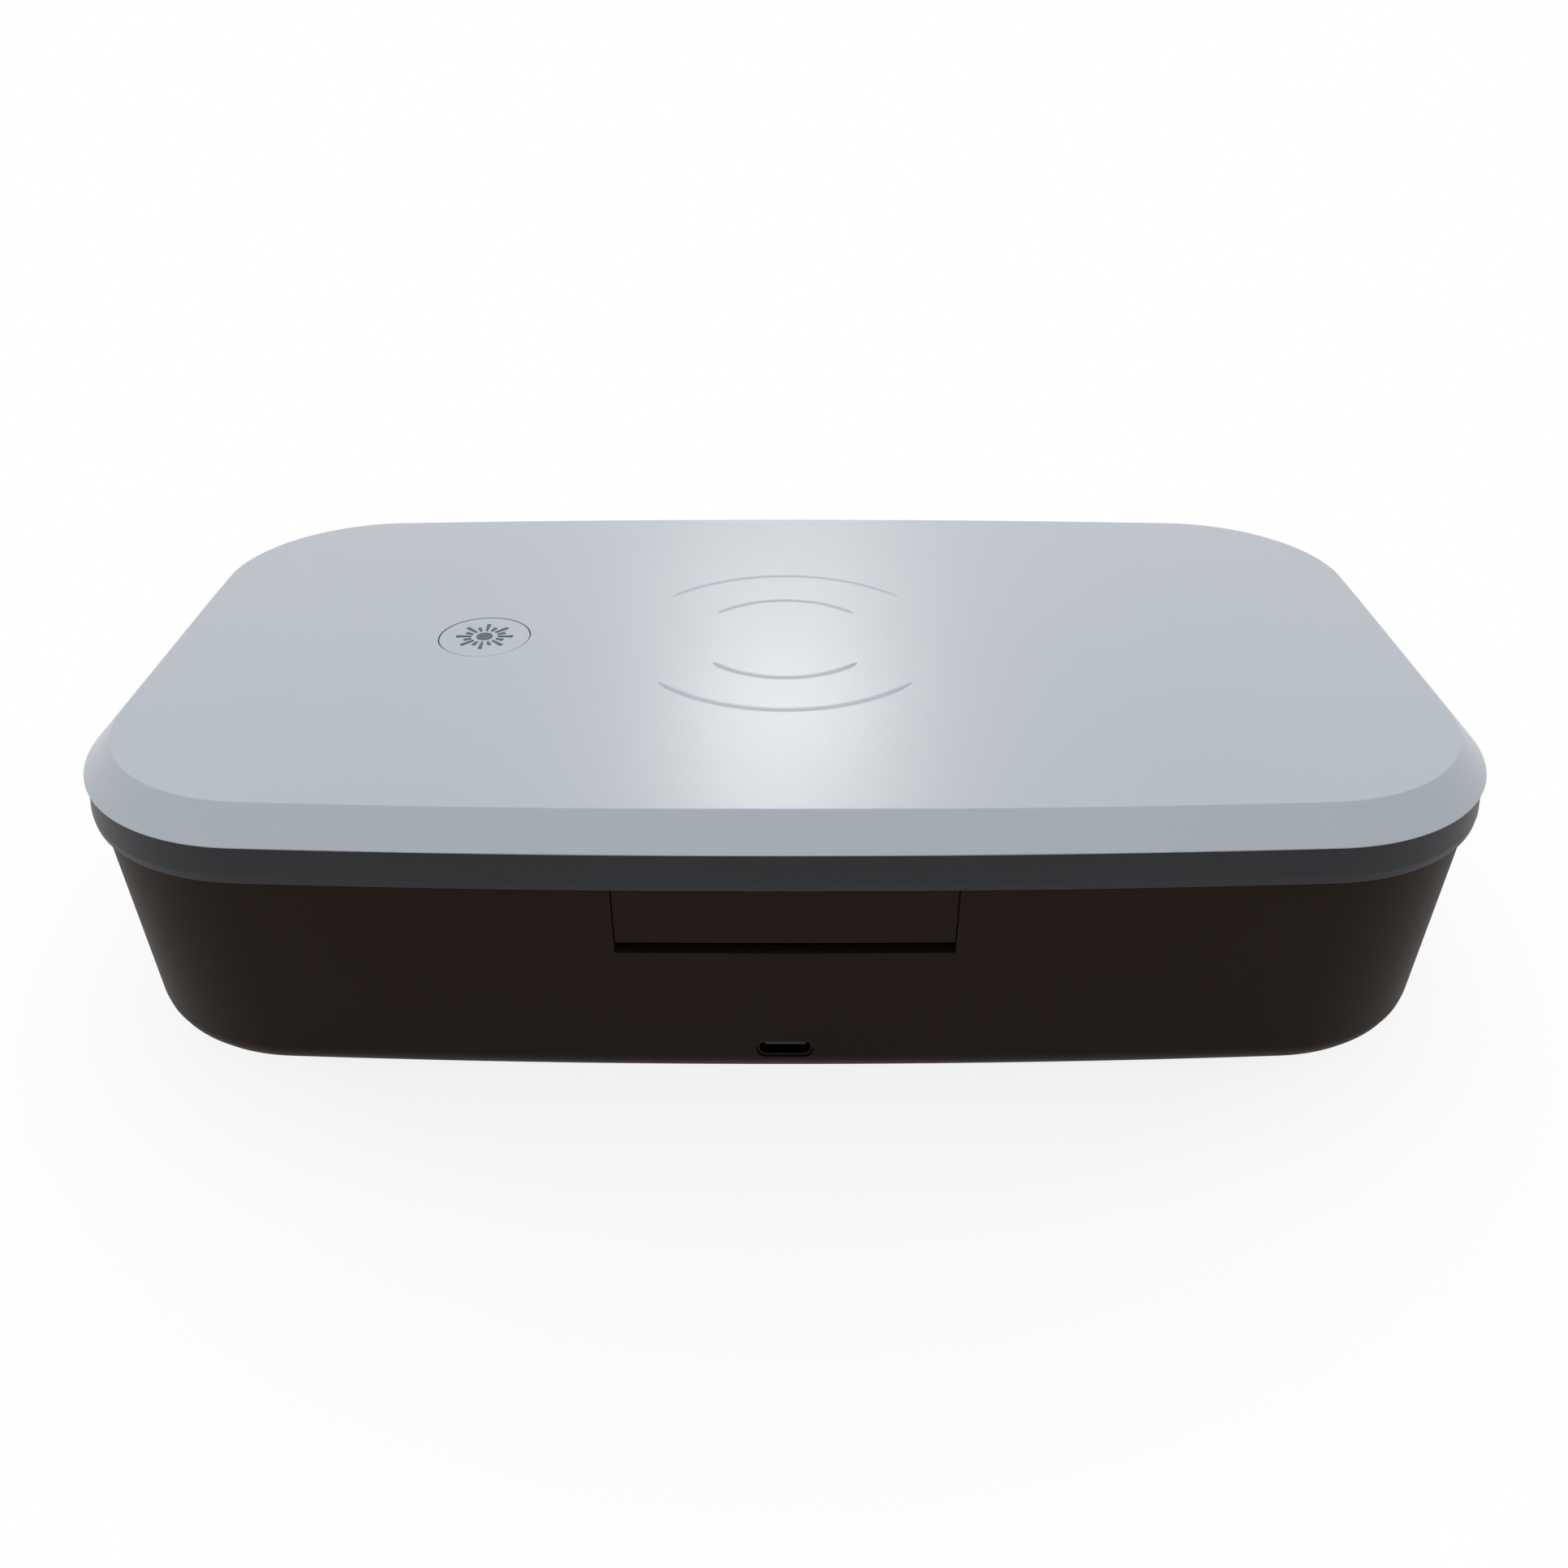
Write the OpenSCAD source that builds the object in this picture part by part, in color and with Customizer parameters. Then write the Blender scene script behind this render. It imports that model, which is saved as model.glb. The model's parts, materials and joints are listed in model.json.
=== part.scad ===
// Sanitizer box for phones: a hinged lid with a charging face and a push button,
// over a base with a mirrored tray. One ultraviolet lamp shines from each half.
// X runs along the hinge, the hinge is on the -Y side and +Z is up.

/* [Box] */
// Width of the box, along the hinge
body_w = 228; // [222:1:260]
// Depth of the box across its middle
body_d = 128; // [126:1:150]
// Height of the closed box up to the lid's flat top, feet included
body_h = 51.2; // [50.8:0.1:60]
// Radius of the corners seen from above
corner_r = 34; // [28:1:36]
// How far the long sides swell outwards at their middle
side_bow = 2; // [1:0.25:3]

/* [Lid] */
// Width of the sloped edge round the lid, seen from above
slope_run = 4.9; // [4.2:0.1:5.6]
// Height of the sloped edge
slope_drop = 5.3; // [4.9:0.05:5.8]
// Height of the dark band under the slope
band_h = 5.3; // [4.8:0.1:6]
// How far the top of the band sits back from the slope's lower edge
band_inset = 0.55; // [0.2:0.05:0.9]
// Wall of the lid cover
cover_wall = 2; // [1.6:0.1:2.2]
// Wall of the lid frame
frame_wall = 2.2; // [1.6:0.1:2.4]
// Thickness of the flange at the bottom of the lid frame
frame_flange_t = 1.25; // [1:0.05:1.4]
// Width of that flange, from the outline inwards
frame_flange_w = 11.6; // [11:0.1:13]
// Thickness of the mirrored panel that closes the lid
panel_t = 1; // [0.8:0.1:1.1]
// Gap between the closed lid and the rim of the base
seam_gap = 0.5; // [0.4:0.1:0.9]

/* [Base] */
// How far the rim of the base sits back from the widest outline
base_inset = 1.2; // [1:0.1:1.4]
// Slope of the base wall from the vertical, in degrees
base_draft = 4; // [3:0.25:5.5]
// Radius of the rounded bottom edge
bottom_r = 5.2; // [4:0.1:5.6]
// Wall and floor of the base
base_wall = 2.2; // [1.8:0.1:2.4]
// Wall beside the tray at the very rim
rim_wall = 1.5; // [1.2:0.1:1.7]
// Width of the small chamfer on the rim's outer edge
rim_chamfer_run = 0.8; // [0.6:0.05:0.95]
// Depth of the small chamfer on the rim's outer edge
rim_chamfer_drop = 0.3; // [0.25:0.05:0.5]

/* [Hinge] */
// Width of the hinge leaf
leaf_w = 52; // [50:1:54]
// Gap beside the leaf on each side
leaf_side_gap = 0.2; // [0.2:0.05:0.5]
// Height of the leaf below the lid's bottom edge
leaf_drop = 11.8; // [11.5:0.1:12.3]
// Height of the slot under the leaf
leaf_slot_h = 1.95; // [1.5:0.05:2.6]
// Thickness of the leaf's wall
leaf_wall = 2; // [1.6:0.1:2.4]
// Height of the hinge axis below the lid's bottom edge
axis_drop = 8.35; // [8.2:0.05:8.6]
// Depth of the hinge axis behind the leaf's outer face
axis_depth = 2; // [1.95:0.05:2.2]
// Radius of the leaf's barrels
barrel_r = 1.7; // [1.65:0.05:1.75]
// Length of each barrel
barrel_len = 9; // [8:0.5:11]
// Radius of the hinge pins
pin_r = 1.1; // [1.05:0.05:1.15]
// Radius of the cable bore through the pins
pin_bore_r = 0.6; // [0.58:0.01:0.65]
// Running clearance round the pins
pin_gap = 0.05; // [0.03:0.01:0.08]
// Length of the pin held in each cheek of the base
cheek_len = 5; // [4.5:0.5:6]
// Opening angle of the lid in degrees
lid_open = 100; // [90:1:105]

/* [Tray] */
// Depth of the tray's flange below the rim of the base
tray_sink = 0.65; // [0.5:0.05:0.8]
// Thickness of the tray
tray_t = 1.2; // [1:0.1:1.3]
// Height of the tray's floor above the ground
tray_floor_z = 14.2; // [14:0.1:15.5]
// Distance from the outline to the tray's wall at the short sides
tray_inset_x = 9; // [8.5:0.1:12]
// Distance from the outline to the tray's wall at the hinge side
tray_inset_hinge = 10.2; // [10:0.1:12]
// Distance from the outline to the tray's wall at the front
tray_inset_front = 9.4; // [9.3:0.1:11]
// Radius of the tray's corners
tray_corner_r = 26; // [24:1:28]
// Slope of the tray's walls, in degrees
tray_draft = 5; // [3:0.5:6]
// Length of the clear rails that the phone lies on
rail_len = 150; // [120:2:160]
// Width of each rail
rail_w = 3; // [2.4:0.1:4]
// Height of each rail
rail_h = 4; // [3:0.1:6]
// Places of the rails across the box
rail_y_hinge_side = -20; // [-30:1:-12]
// Place of the other rail
rail_y_front = 38; // [28:1:40]

/* [Lamps] */
// Length of each lamp tube
lamp_len = 144; // [130:1:150]
// Radius of each lamp tube
lamp_r = 1.8; // [1.5:0.05:1.9]
// Radius of the metal caps on the lamp's ends
lamp_cap_r = 2.3; // [2.1:0.05:2.3]
// Length of each metal cap
lamp_cap_len = 8; // [6:0.5:9]
// Half width of the mirrored trough round a lamp
trough_half_w = 5.5; // [5:0.1:6]
// Wall of the trough in the lid
trough_wall = 1; // [0.8:0.1:1]
// Depth of the trough in the lid, above the panel's lower face
lid_trough_depth = 5.55; // [5.45:0.05:5.6]
// Depth of the trough in the base, below the tray's floor
base_trough_depth = 7; // [6.6:0.1:7.4]
// Place of the lamp across the base
base_lamp_y = 10; // [6:1:14]
// Place of the lamp across the lid
lid_lamp_y = 36; // [35:0.5:37]
// Thickness of the clear windows over the lamps
window_t = 0.8; // [0.6:0.1:0.9]
// How far a window laps over the edge of its trough
window_lap = 2; // [1.5:0.1:2.5]

/* [Button] */
// Distance of the button from the middle of the lid
button_x = 54.3; // [52:0.1:58]
// Radius of the button
button_r = 8; // [7:0.1:8.5]
// Gap between the button and the lid
button_gap = 0.3; // [0.2:0.05:0.4]
// Travel of the button
button_travel = 0.4; // [0.2:0.05:0.45]
// Width of the lip that keeps the button in the lid
button_lip = 1; // [0.8:0.1:1.4]
// Radius of the disc of the sun symbol
sun_r = 1.45; // [1.2:0.05:1.7]
// Radius from which the rays of the sun symbol start
ray_in_r = 2.4; // [2:0.1:2.8]
// Radius at which the long rays end
ray_long_r = 5.1; // [4.6:0.1:5.6]
// Radius at which the short rays end
ray_short_r = 3.8; // [3.4:0.1:4.4]
// Width of the rays at their outer end
ray_w = 0.55; // [0.4:0.05:0.7]
// Thickness of the printed symbol
sun_t = 0.12; // [0.08:0.02:0.2]

/* [Charging] */
// Radius of the inner pair of raised arcs on the lid
arc_inner_r = 16.3; // [14:0.1:18]
// Radius of the outer pair of raised arcs on the lid
arc_outer_r = 28.1; // [26:0.1:31]
// Angle that each raised arc spans
arc_span = 101; // [80:1:110]
// Width of the raised arcs at their foot
arc_w = 1.1; // [0.8:0.1:1.6]
// Height of the raised arcs
arc_h = 0.3; // [0.2:0.05:0.5]
// Outer radius of the charging coil
coil_r = 24; // [22:0.5:25]
// Inner radius of the charging coil
coil_hole_r = 10.5; // [9:0.5:12]
// Thickness of the charging coil
coil_t = 0.9; // [0.7:0.1:1]
// Radius of the ferrite sheet under the coil
ferrite_r = 25.5; // [25.2:0.1:26]
// Thickness of the ferrite sheet
ferrite_t = 0.8; // [0.5:0.1:0.9]

/* [Electronics] */
// Width of the main board
board_w = 70; // [66:1:74]
// Depth of the main board
board_d = 34; // [30:1:36]
// Thickness of the circuit boards
board_t = 1; // [0.8:0.1:1]
// Width of the metal shell of the power inlet
port_w = 8.95; // [8.9:0.05:9]
// Height of the metal shell of the power inlet
port_h = 3.2; // [3.15:0.05:3.25]
// Depth of the metal shell of the power inlet
port_len = 7.3; // [6.8:0.1:8]
// Wall of the metal shell of the power inlet
port_wall = 0.3; // [0.25:0.05:0.3]
// Height of the middle of the power inlet above the ground
port_z = 6.45; // [6.2:0.05:6.5]
// Gap round the shell in the wall of the base
port_gap = 0.15; // [0.1:0.05:0.2]
// How far the shell sits back from the wall's face
port_recess = 0.6; // [0.4:0.05:1]
// Width of the board in the lid
charger_board_w = 52; // [50:1:53]
// Depth of the board in the lid
charger_board_d = 36; // [32:1:38]
// Radius of the wires
wire_r = 0.5; // [0.4:0.05:0.55]

/* [Fasteners and feet] */
// Radius of the rubber feet
foot_r = 6; // [5:0.25:7]
// How far the feet stand out of the base
foot_proud = 0.5; // [0.4:0.1:1]
// Depth of the pockets that hold the feet
foot_pocket = 0.6; // [0.5:0.1:0.8]
// Distance of the feet from the short sides of the outline
foot_inset_x = 28; // [26:1:32]
// Distance of the feet from the long sides of the outline
foot_inset_y = 26; // [24:1:28]
// Radius of the large screws' shafts
screw_r = 1.4; // [1.2:0.05:1.5]
// Radius of the small screws' shafts
small_screw_r = 0.9; // [0.8:0.05:1]
// Clearance of each screw in its hole
screw_gap = 0.05; // [0.03:0.01:0.1]
// Radius of the magnets that hold the lid shut
magnet_r = 1.9; // [1.6:0.05:2]
// Length of the magnets in the base
magnet_len = 2.8; // [2:0.1:3.5]
// Distance of each magnet from the middle of the front
magnet_x = 22; // [18:1:28]
// Radius of the soft bumpers under the lid
bumper_r = 2; // [1.6:0.1:2.2]
// Distance of each bumper from the middle of the box
bumper_x = 60; // [54:1:66]

/* [Hidden] */

// Smoothness of small, middling and large round things
fn_small = 24;
fn_mid = 48;
fn_large = 128;
fn_bow = 1440;
// Overlap that makes a cut or a joined piece sure
eps = 0.01;
cut = 1;

// Outline of the box seen from above, at its widest
half_w = body_w / 2;
half_d = body_d / 2;
corner_x = half_w - corner_r;
corner_y = half_d - side_bow - corner_r;
bow_reach = side_bow + corner_r;
bow_r = (corner_x * corner_x + bow_reach * bow_reach - corner_r * corner_r) / (2 * side_bow);
bow_angle = asin(corner_x / (bow_r - corner_r));

// Heights of the lid
lid_top_z = body_h;
band_top_z = lid_top_z - slope_drop;
band_bottom_z = band_top_z - band_h;
cover_under_z = lid_top_z - cover_wall;
flange_top_z = band_bottom_z + frame_flange_t;
panel_top_z = flange_top_z + panel_t;
panel_inset = frame_flange_w - 2;
lid_line_inset = 6.5;
lip_gap = 0.15;

// Heights and slopes of the base
shell_bottom_z = foot_proud;
floor_z = shell_bottom_z + base_wall;
rim_z = band_bottom_z - seam_gap;
tray_top_z = rim_z - tray_sink;
ledge_z = tray_top_z - tray_t;
round_z = shell_bottom_z + bottom_r;
tangent_z = shell_bottom_z + bottom_r * (1 - sin(base_draft));
round_u = wall_u(tangent_z) - bottom_r * cos(base_draft);
round_ease = 0.02;
ledge_u = -base_inset - rim_wall;
section_in_u = -16;
plate_inset = 12;

// The wall's outer face, as a distance from the outline, at a height
function wall_u(z) = -base_inset - (rim_z - z) * tan(base_draft);
// The same for a face that lies t inside the wall
function inner_u(z, t) = wall_u(z) - t / cos(base_draft);
// Place across the box of a line d inside the outline, at x along the side
function side_y(x, d) = half_d - bow_r + sqrt(pow(bow_r - d, 2) - x * x);

// Hinge
axis_z = band_bottom_z - axis_drop;
leaf_bottom_z = band_bottom_z - leaf_drop;
notch_bottom_z = leaf_bottom_z - leaf_slot_h;
axis_y = -(half_d + wall_u(axis_z)) + axis_depth;
notch_half_w = leaf_w / 2 + leaf_side_gap;
notch_depth = 8;
pin_end_x = notch_half_w + cheek_len;
pin_inner_x = leaf_w / 2 - barrel_len + 1;
seat_gap = 0.03;
cheek_r = 2.5;
cheek_face = 1;
leaf_foot_t = 1.45;
leaf_foot_w = 8.6;
leaf_screw_y = -(half_d - lid_line_inset);
leaf_screw_x = [8, 21];
leaf_boss_r = 2.1;
leaf_boss_len = 4.6;
cable_x = 14.5;
cable_hole_r = 0.9;
cable_bend_z = axis_z + 4;
wire_pocket_w = 5;
wire_gap = 0.15;
wire_sides = 8;
wire_bend = 1.5;

// Tray
tray_half_w = half_w - tray_inset_x;
tray_hinge_y = -(half_d - tray_inset_hinge);
tray_front_y = half_d - tray_inset_front;
tray_mid_y = (tray_hinge_y + tray_front_y) / 2;
tray_half_d = (tray_front_y - tray_hinge_y) / 2;
tray_under_z = tray_floor_z - tray_t;
tray_flange_inset = -ledge_u + 0.15;
tray_edge = 1.5;
screw_seat_z = shell_bottom_z + 4;
screw_head_r = 2.6;
screw_head_h = 1.6;
screw_boss_r = 3.5;
seat_cup_r = 4.6;
seat_t = 1.5;
foot_x = half_w - foot_inset_x;
foot_y = half_d - foot_inset_y;
foot_gap = 0.1;
screw_tip_z = tray_under_z - 1.2;

// Lamps
trough_end = 3;
trough_half_len = lamp_len / 2 + lamp_cap_len / 2 + trough_end;
cap_cup = 4;
cap_out_x = lamp_len / 2 + lamp_cap_len - cap_cup;
base_trough_z = tray_floor_z - base_trough_depth;
lid_trough_z = flange_top_z + lid_trough_depth;
base_lamp_z = base_trough_z + 3.2;
lid_lamp_z = (flange_top_z + 0.1 + lid_trough_z) / 2;
holder_x = lamp_len / 2 + 1;
holder_t = 3;
holder_half_w = trough_half_w - 0.2;
holder_gap = 0.05;
wire_hole_r = wire_r + 0.3;

// Button and its switch
button_y = 0.2;
button_flange_t = 1;
button_roof_t = 1.4;
button_skirt_wall = 1.4;
button_top_chamfer = 0.3;
button_rest_gap = 0.1;
button_flange_z = cover_under_z - button_rest_gap - button_flange_t;
stem_r = 2.4;
stem_z = cover_under_z - 2.15;
charger_board_z = panel_top_z + 1;
charger_top_z = charger_board_z + board_t;
switch_h = stem_z - 0.5 - charger_top_z;
switch_w = 6;
plunger_r = 1.7;
plunger_len = 1.5;
plunger_gap = 0.1;
ray_count = 16;

// Charging parts, hung under the lid's plate
charger_board_x = -28 - charger_board_w / 2;
charger_screw_inset = 3;
charger_boss_r = 2.2;

// Main board and inlet
port_front_y = -(half_d + wall_u(port_z)) + port_recess;
board_z = port_z + port_h / 2;
board_top_z = board_z + board_t;
board_back_y = port_front_y + 2.9;
board_mid_y = board_back_y + board_d / 2;
board_screw_x = board_w / 2 - 4;
board_screw_y = board_d / 2 - 5;
board_boss_r = 2.6;
board_hole_r = small_screw_r + 0.2;
small_head_r = 1.8;
small_head_h = 1.1;
inverter_x = -18;
inverter_y = 3;
inverter_size = [16, 12, 3.5];
inverter_groove = [11, 5, 1.5];

// Chips on the two boards: place along the board, place across it, then width, depth and height
main_chips = [[8, 2, 7, 7, 1], [20, 6, 5, 4, 1.5], [20, -3, 6, 6, 2.8], [-2, 9, 4, 3, 1.2]];
lid_chips = [[14, 8, 5, 5, 0.9], [16, -6, 6, 4, 1.2], [-16, 0, 4, 7, 1.1]];
main_plug = [5, 6, 3.2];
main_plug_x = 29;
lid_plug = [9, 3.5, 1.5];
lid_plug_inset = 3;
can_x = 3;
can_y = -7;
can_r = 2.5;
can_h = 3.4;

// Closing parts
line_x = 75;
magnet_cup_wall = 0.65;
magnet_gap = 0.05;
lid_magnet_len = 2;
bumper_h = 1.4;
bumper_drop = 0.8;
sensor_w = 8;
sensor_d = 2.6;
sensor_x = magnet_x + magnet_r + 6.5;

cover_color = [0.80, 0.83, 0.86];
band_color = [0.24, 0.24, 0.27];
base_color = [0.17, 0.13, 0.12];
mirror_color = [0.85, 0.86, 0.88];
steel_color = [0.66, 0.67, 0.69];
board_color = [0.06, 0.28, 0.16];
chip_color = [0.08, 0.08, 0.09];
plug_color = [0.92, 0.90, 0.84];
rubber_color = [0.12, 0.12, 0.12];
clear_color = [0.80, 0.88, 0.92, 0.5];
copper_color = [0.72, 0.43, 0.20];
wire_color = [0.75, 0.12, 0.10];

// Plan shapes and sweeps

// The box's outline seen from above, d inside its widest line
module outline(d) {
    tangent_x = corner_x + (corner_r - d) * sin(bow_angle);
    intersection() {
        translate([0, half_d - bow_r])
            circle(bow_r - d, $fn = fn_bow);
        translate([0, bow_r - half_d])
            circle(bow_r - d, $fn = fn_bow);
        square([2 * tangent_x, 2 * half_d], center = true);
    }
    square([2 * (half_w - d), 2 * corner_y], center = true);
    for (sx = [-1, 1], sy = [-1, 1])
        translate([sx * corner_x, sy * corner_y])
            circle(corner_r - d, $fn = fn_large);
}

// Everything on one side of the line through a corner's middle at which its arc meets the long side
module beyond_corner(side) {
    reach = 2 * corner_r;
    translate([corner_x, corner_y, -reach])
        rotate(-bow_angle)
            translate([side > 0 ? 0 : -reach, -reach, 0])
                cube([reach, 2 * reach, 4 * reach]);
}

// Sweeps a section round the outline: its x runs outwards from the outline, its y is the height
module sweep_outline() {
    bow_sweep = ceil(bow_angle) + 1;
    for (mx = [0, 1], my = [0, 1])
        mirror([mx, 0, 0])
            mirror([0, my, 0]) {
                difference() {
                    translate([0, half_d - bow_r, 0])
                        rotate_extrude(angle = bow_sweep, start = 90 - bow_sweep, $fn = fn_bow)
                            translate([bow_r, 0])
                                children();
                    beyond_corner(1);
                }
                difference() {
                    translate([corner_x, corner_y, 0])
                        rotate_extrude(angle = 90, start = 0, $fn = fn_large)
                            translate([corner_r, 0])
                                children();
                    beyond_corner(-1);
                }
                translate([half_w, corner_y, 0])
                    rotate([90, 0, 0])
                        linear_extrude(corner_y)
                            children();
            }
}

// A rectangle with round corners, seen from above
module round_rect(half_x, half_y, r) {
    square([2 * (half_x - r), 2 * half_y], center = true);
    square([2 * half_x, 2 * (half_y - r)], center = true);
    for (sx = [-1, 1], sy = [-1, 1])
        translate([sx * (half_x - r), sy * (half_y - r)])
            circle(r, $fn = fn_large);
}

// Sweeps a section round such a rectangle
module sweep_round_rect(half_x, half_y, r) {
    for (side = [0, 180])
        rotate(side) {
            translate([half_x, half_y - r, 0])
                rotate([90, 0, 0])
                    linear_extrude(2 * (half_y - r))
                        children();
            translate([-(half_x - r), half_y, 0])
                rotate([90, 0, 90])
                    linear_extrude(2 * (half_x - r))
                        children();
            translate([half_x - r, half_y - r, 0])
                rotate_extrude(angle = 90, $fn = fn_large)
                    translate([r, 0])
                        children();
            translate([half_x - r, r - half_y, 0])
                rotate(-90)
                    rotate_extrude(angle = 90, $fn = fn_large)
                        translate([r, 0])
                            children();
        }
}

// A slot shape with round ends
module stadium(w, h) {
    square([w - h, h], center = true);
    for (s = [-1, 1])
        translate([s * (w - h) / 2, 0])
            circle(h / 2, $fn = fn_mid);
}

// A box given by its lowest and highest corners
module block(low, high) {
    translate(low)
        cube([for (i = [0:2]) high[i] - low[i]]);
}

// A rod along X, between two places
module rod_x(x_from, x_to, y, z, r, fn = fn_mid) {
    translate([x_from, y, z])
        rotate([0, 90, 0])
            cylinder(h = x_to - x_from, r = r, $fn = fn);
}

// A screw with a flat head whose seat is at z; the shaft runs up or down from it
module screw(x, y, seat_z, head_r, head_h, shaft_r, shaft_end_z) {
    up = shaft_end_z > seat_z;
    translate([x, y, up ? seat_z - head_h : seat_z])
        difference() {
            cylinder(h = head_h, r = head_r, $fn = fn_small);
            translate([0, 0, up ? -cut : head_h / 2])
                for (turn = [0, 90])
                    rotate(turn)
                        translate([-head_r / 2, -head_r / 9, 0])
                            cube([head_r, head_r / 4.5, cut + head_h / 2]);
        }
    translate([x, y, min(seat_z, shaft_end_z)])
        cylinder(h = abs(shaft_end_z - seat_z), r = shaft_r, $fn = fn_small);
}

// A vector of length 1
function unit(v) = v / norm(v);
// The vector v, turned as the direction a turns into the direction b
function turned(v, a, b) = v - ((a + b) * v) / (1 + a * b) * (a + b) + 2 * (a * v) * b;
// A direction square to each of the given ones, carried along without a twist
function carried(dirs, side, i = 0) =
    i == len(dirs) - 1
        ? [side]
        : concat([side], carried(dirs, turned(side, dirs[i], dirs[i + 1]), i + 1));

// A wire along a chain of points, with each bend cut short between two rings
module wire(points, r) {
    last = len(points) - 1;
    runs = [for (i = [0:last - 1]) unit(points[i + 1] - points[i])];
    spots = [
        points[0],
        for (i = [1:1:last - 1])
            each [points[i] - wire_bend * r * runs[i - 1], points[i] + wire_bend * r * runs[i]],
        points[last]
    ];
    dirs = [
        runs[0],
        for (i = [1:1:last - 1])
            each [runs[i - 1], runs[i]],
        runs[last - 1]
    ];
    first_side = unit(cross(runs[0], abs(runs[0][2]) < 0.9 ? [0, 0, 1] : [1, 0, 0]));
    sides = carried(dirs, first_side);
    end_ring = (len(spots) - 1) * wire_sides;
    polyhedron(
        points = [
            for (i = [0:len(spots) - 1], k = [0:wire_sides - 1])
                let (a = k * 360 / wire_sides)
                    spots[i] + r * (cos(a) * sides[i] + sin(a) * cross(dirs[i], sides[i]))
        ],
        faces = [
            [for (k = [0:wire_sides - 1]) k],
            for (i = [0:len(spots) - 2], k = [0:wire_sides - 1])
                let (
                    a = i * wire_sides + k,
                    b = i * wire_sides + (k + 1) % wire_sides
                )
                    each [[a, a + wire_sides, b + wire_sides], [a, b + wire_sides, b]],
            [for (k = [wire_sides - 1:-1:0]) end_ring + k]
        ]
    );
}

// Places of what repeats
module at_feet() {
    for (sx = [-1, 1], sy = [-1, 1])
        translate([sx * foot_x, sy * foot_y, 0])
            children();
}

module at_lid_screws() {
    line_y = side_y(line_x, lid_line_inset);
    for (p = [[-line_x, line_y], [line_x, line_y], [-line_x, -line_y], [line_x, -line_y],
              [-half_w + lid_line_inset, 0], [half_w - lid_line_inset, 0]])
        translate([p[0], p[1], 0])
            children();
}

module at_magnets(inset) {
    for (s = [-1, 1])
        translate([s * magnet_x, side_y(magnet_x, inset), 0])
            children();
}

module at_bumpers() {
    for (s = [-1, 1])
        translate([s * bumper_x, side_y(bumper_x, lid_line_inset), 0])
            children();
}

module at_board_screws() {
    for (sx = [-1, 1], sy = [-1, 1])
        translate([sx * board_screw_x, board_mid_y + sy * board_screw_y, 0])
            children();
}

module at_charger_screws() {
    for (sx = [-1, 1], sy = [-1, 1])
        translate([
            charger_board_x + sx * (charger_board_w / 2 - charger_screw_inset),
            sy * (charger_board_d / 2 - charger_screw_inset),
            0
        ])
            children();
}

// Base

// Section of the base wall, with its round bottom edge
module base_section() {
    tangent_u = wall_u(tangent_z);
    inner_r = bottom_r - base_wall;
    inner_tangent = [
        tangent_u - base_wall * cos(base_draft),
        tangent_z + base_wall * sin(base_draft)
    ];
    difference() {
        union() {
            polygon([
                [section_in_u, shell_bottom_z],
                [round_u, shell_bottom_z],
                [tangent_u, tangent_z],
                [wall_u(rim_z - rim_chamfer_drop), rim_z - rim_chamfer_drop],
                [-base_inset - rim_chamfer_run, rim_z],
                [section_in_u, rim_z]
            ]);
            translate([round_u, round_z])
                circle(bottom_r - round_ease, $fn = 2 * fn_mid);
        }
        polygon([
            [section_in_u - cut, floor_z],
            [round_u, floor_z],
            inner_tangent,
            [inner_u(ledge_z, base_wall), ledge_z],
            [ledge_u, ledge_z],
            [ledge_u, rim_z + cut],
            [section_in_u - cut, rim_z + cut]
        ]);
        translate([round_u, round_z])
            circle(inner_r - round_ease, $fn = 2 * fn_mid);
    }
}

module cheek_pocket(s) {
    low_x = s > 0 ? pin_end_x : -pin_end_x - wire_pocket_w;
    block(
        [low_x, axis_y - wire_r - wire_gap, axis_z - cheek_r],
        [low_x + wire_pocket_w, -half_d + notch_depth, axis_z + cheek_r]
    );
}

module base_shell() {
    color(base_color)
        difference() {
            union() {
                sweep_outline()
                    base_section();
                translate([0, 0, shell_bottom_z])
                    linear_extrude(base_wall)
                        outline(plate_inset);
                at_feet()
                    translate([0, 0, shell_bottom_z])
                        cylinder(h = screw_seat_z - shell_bottom_z, r = seat_cup_r, $fn = fn_mid);
                at_board_screws()
                    translate([0, 0, shell_bottom_z + eps])
                        cylinder(h = board_z - shell_bottom_z - eps, r = board_boss_r, $fn = fn_mid);
                for (s = [-1, 1])
                    block(
                        [
                            min(s * (notch_half_w - cut), s * pin_end_x),
                            axis_y - cheek_face,
                            axis_z - cheek_r
                        ],
                        [
                            max(s * (notch_half_w - cut), s * pin_end_x),
                            axis_y + cheek_r,
                            axis_z + cheek_r
                        ]
                    );
            }
            block(
                [-notch_half_w, -half_d - cut, notch_bottom_z],
                [notch_half_w, -half_d + notch_depth, rim_z + cut]
            );
            for (s = [-1, 1])
                cheek_pocket(s);
            rod_x(-pin_end_x - eps, pin_end_x + eps, axis_y, axis_z, pin_r + seat_gap);
            translate([0, -half_d + 12, port_z])
                rotate([90, 0, 0])
                    linear_extrude(12 + cut)
                        stadium(port_w + 2 * port_gap, port_h + 2 * port_gap);
            at_board_screws()
                translate([0, 0, floor_z])
                    cylinder(h = board_z, r = small_screw_r + screw_gap, $fn = fn_small);
            at_feet() {
                translate([0, 0, shell_bottom_z - cut])
                    cylinder(h = foot_pocket + cut, r = foot_r + foot_gap, $fn = fn_mid);
                cylinder(h = screw_seat_z - seat_t, r = screw_head_r + 0.3, $fn = fn_mid);
                cylinder(h = screw_seat_z + cut, r = screw_r + screw_gap, $fn = fn_small);
            }
        }
}

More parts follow.
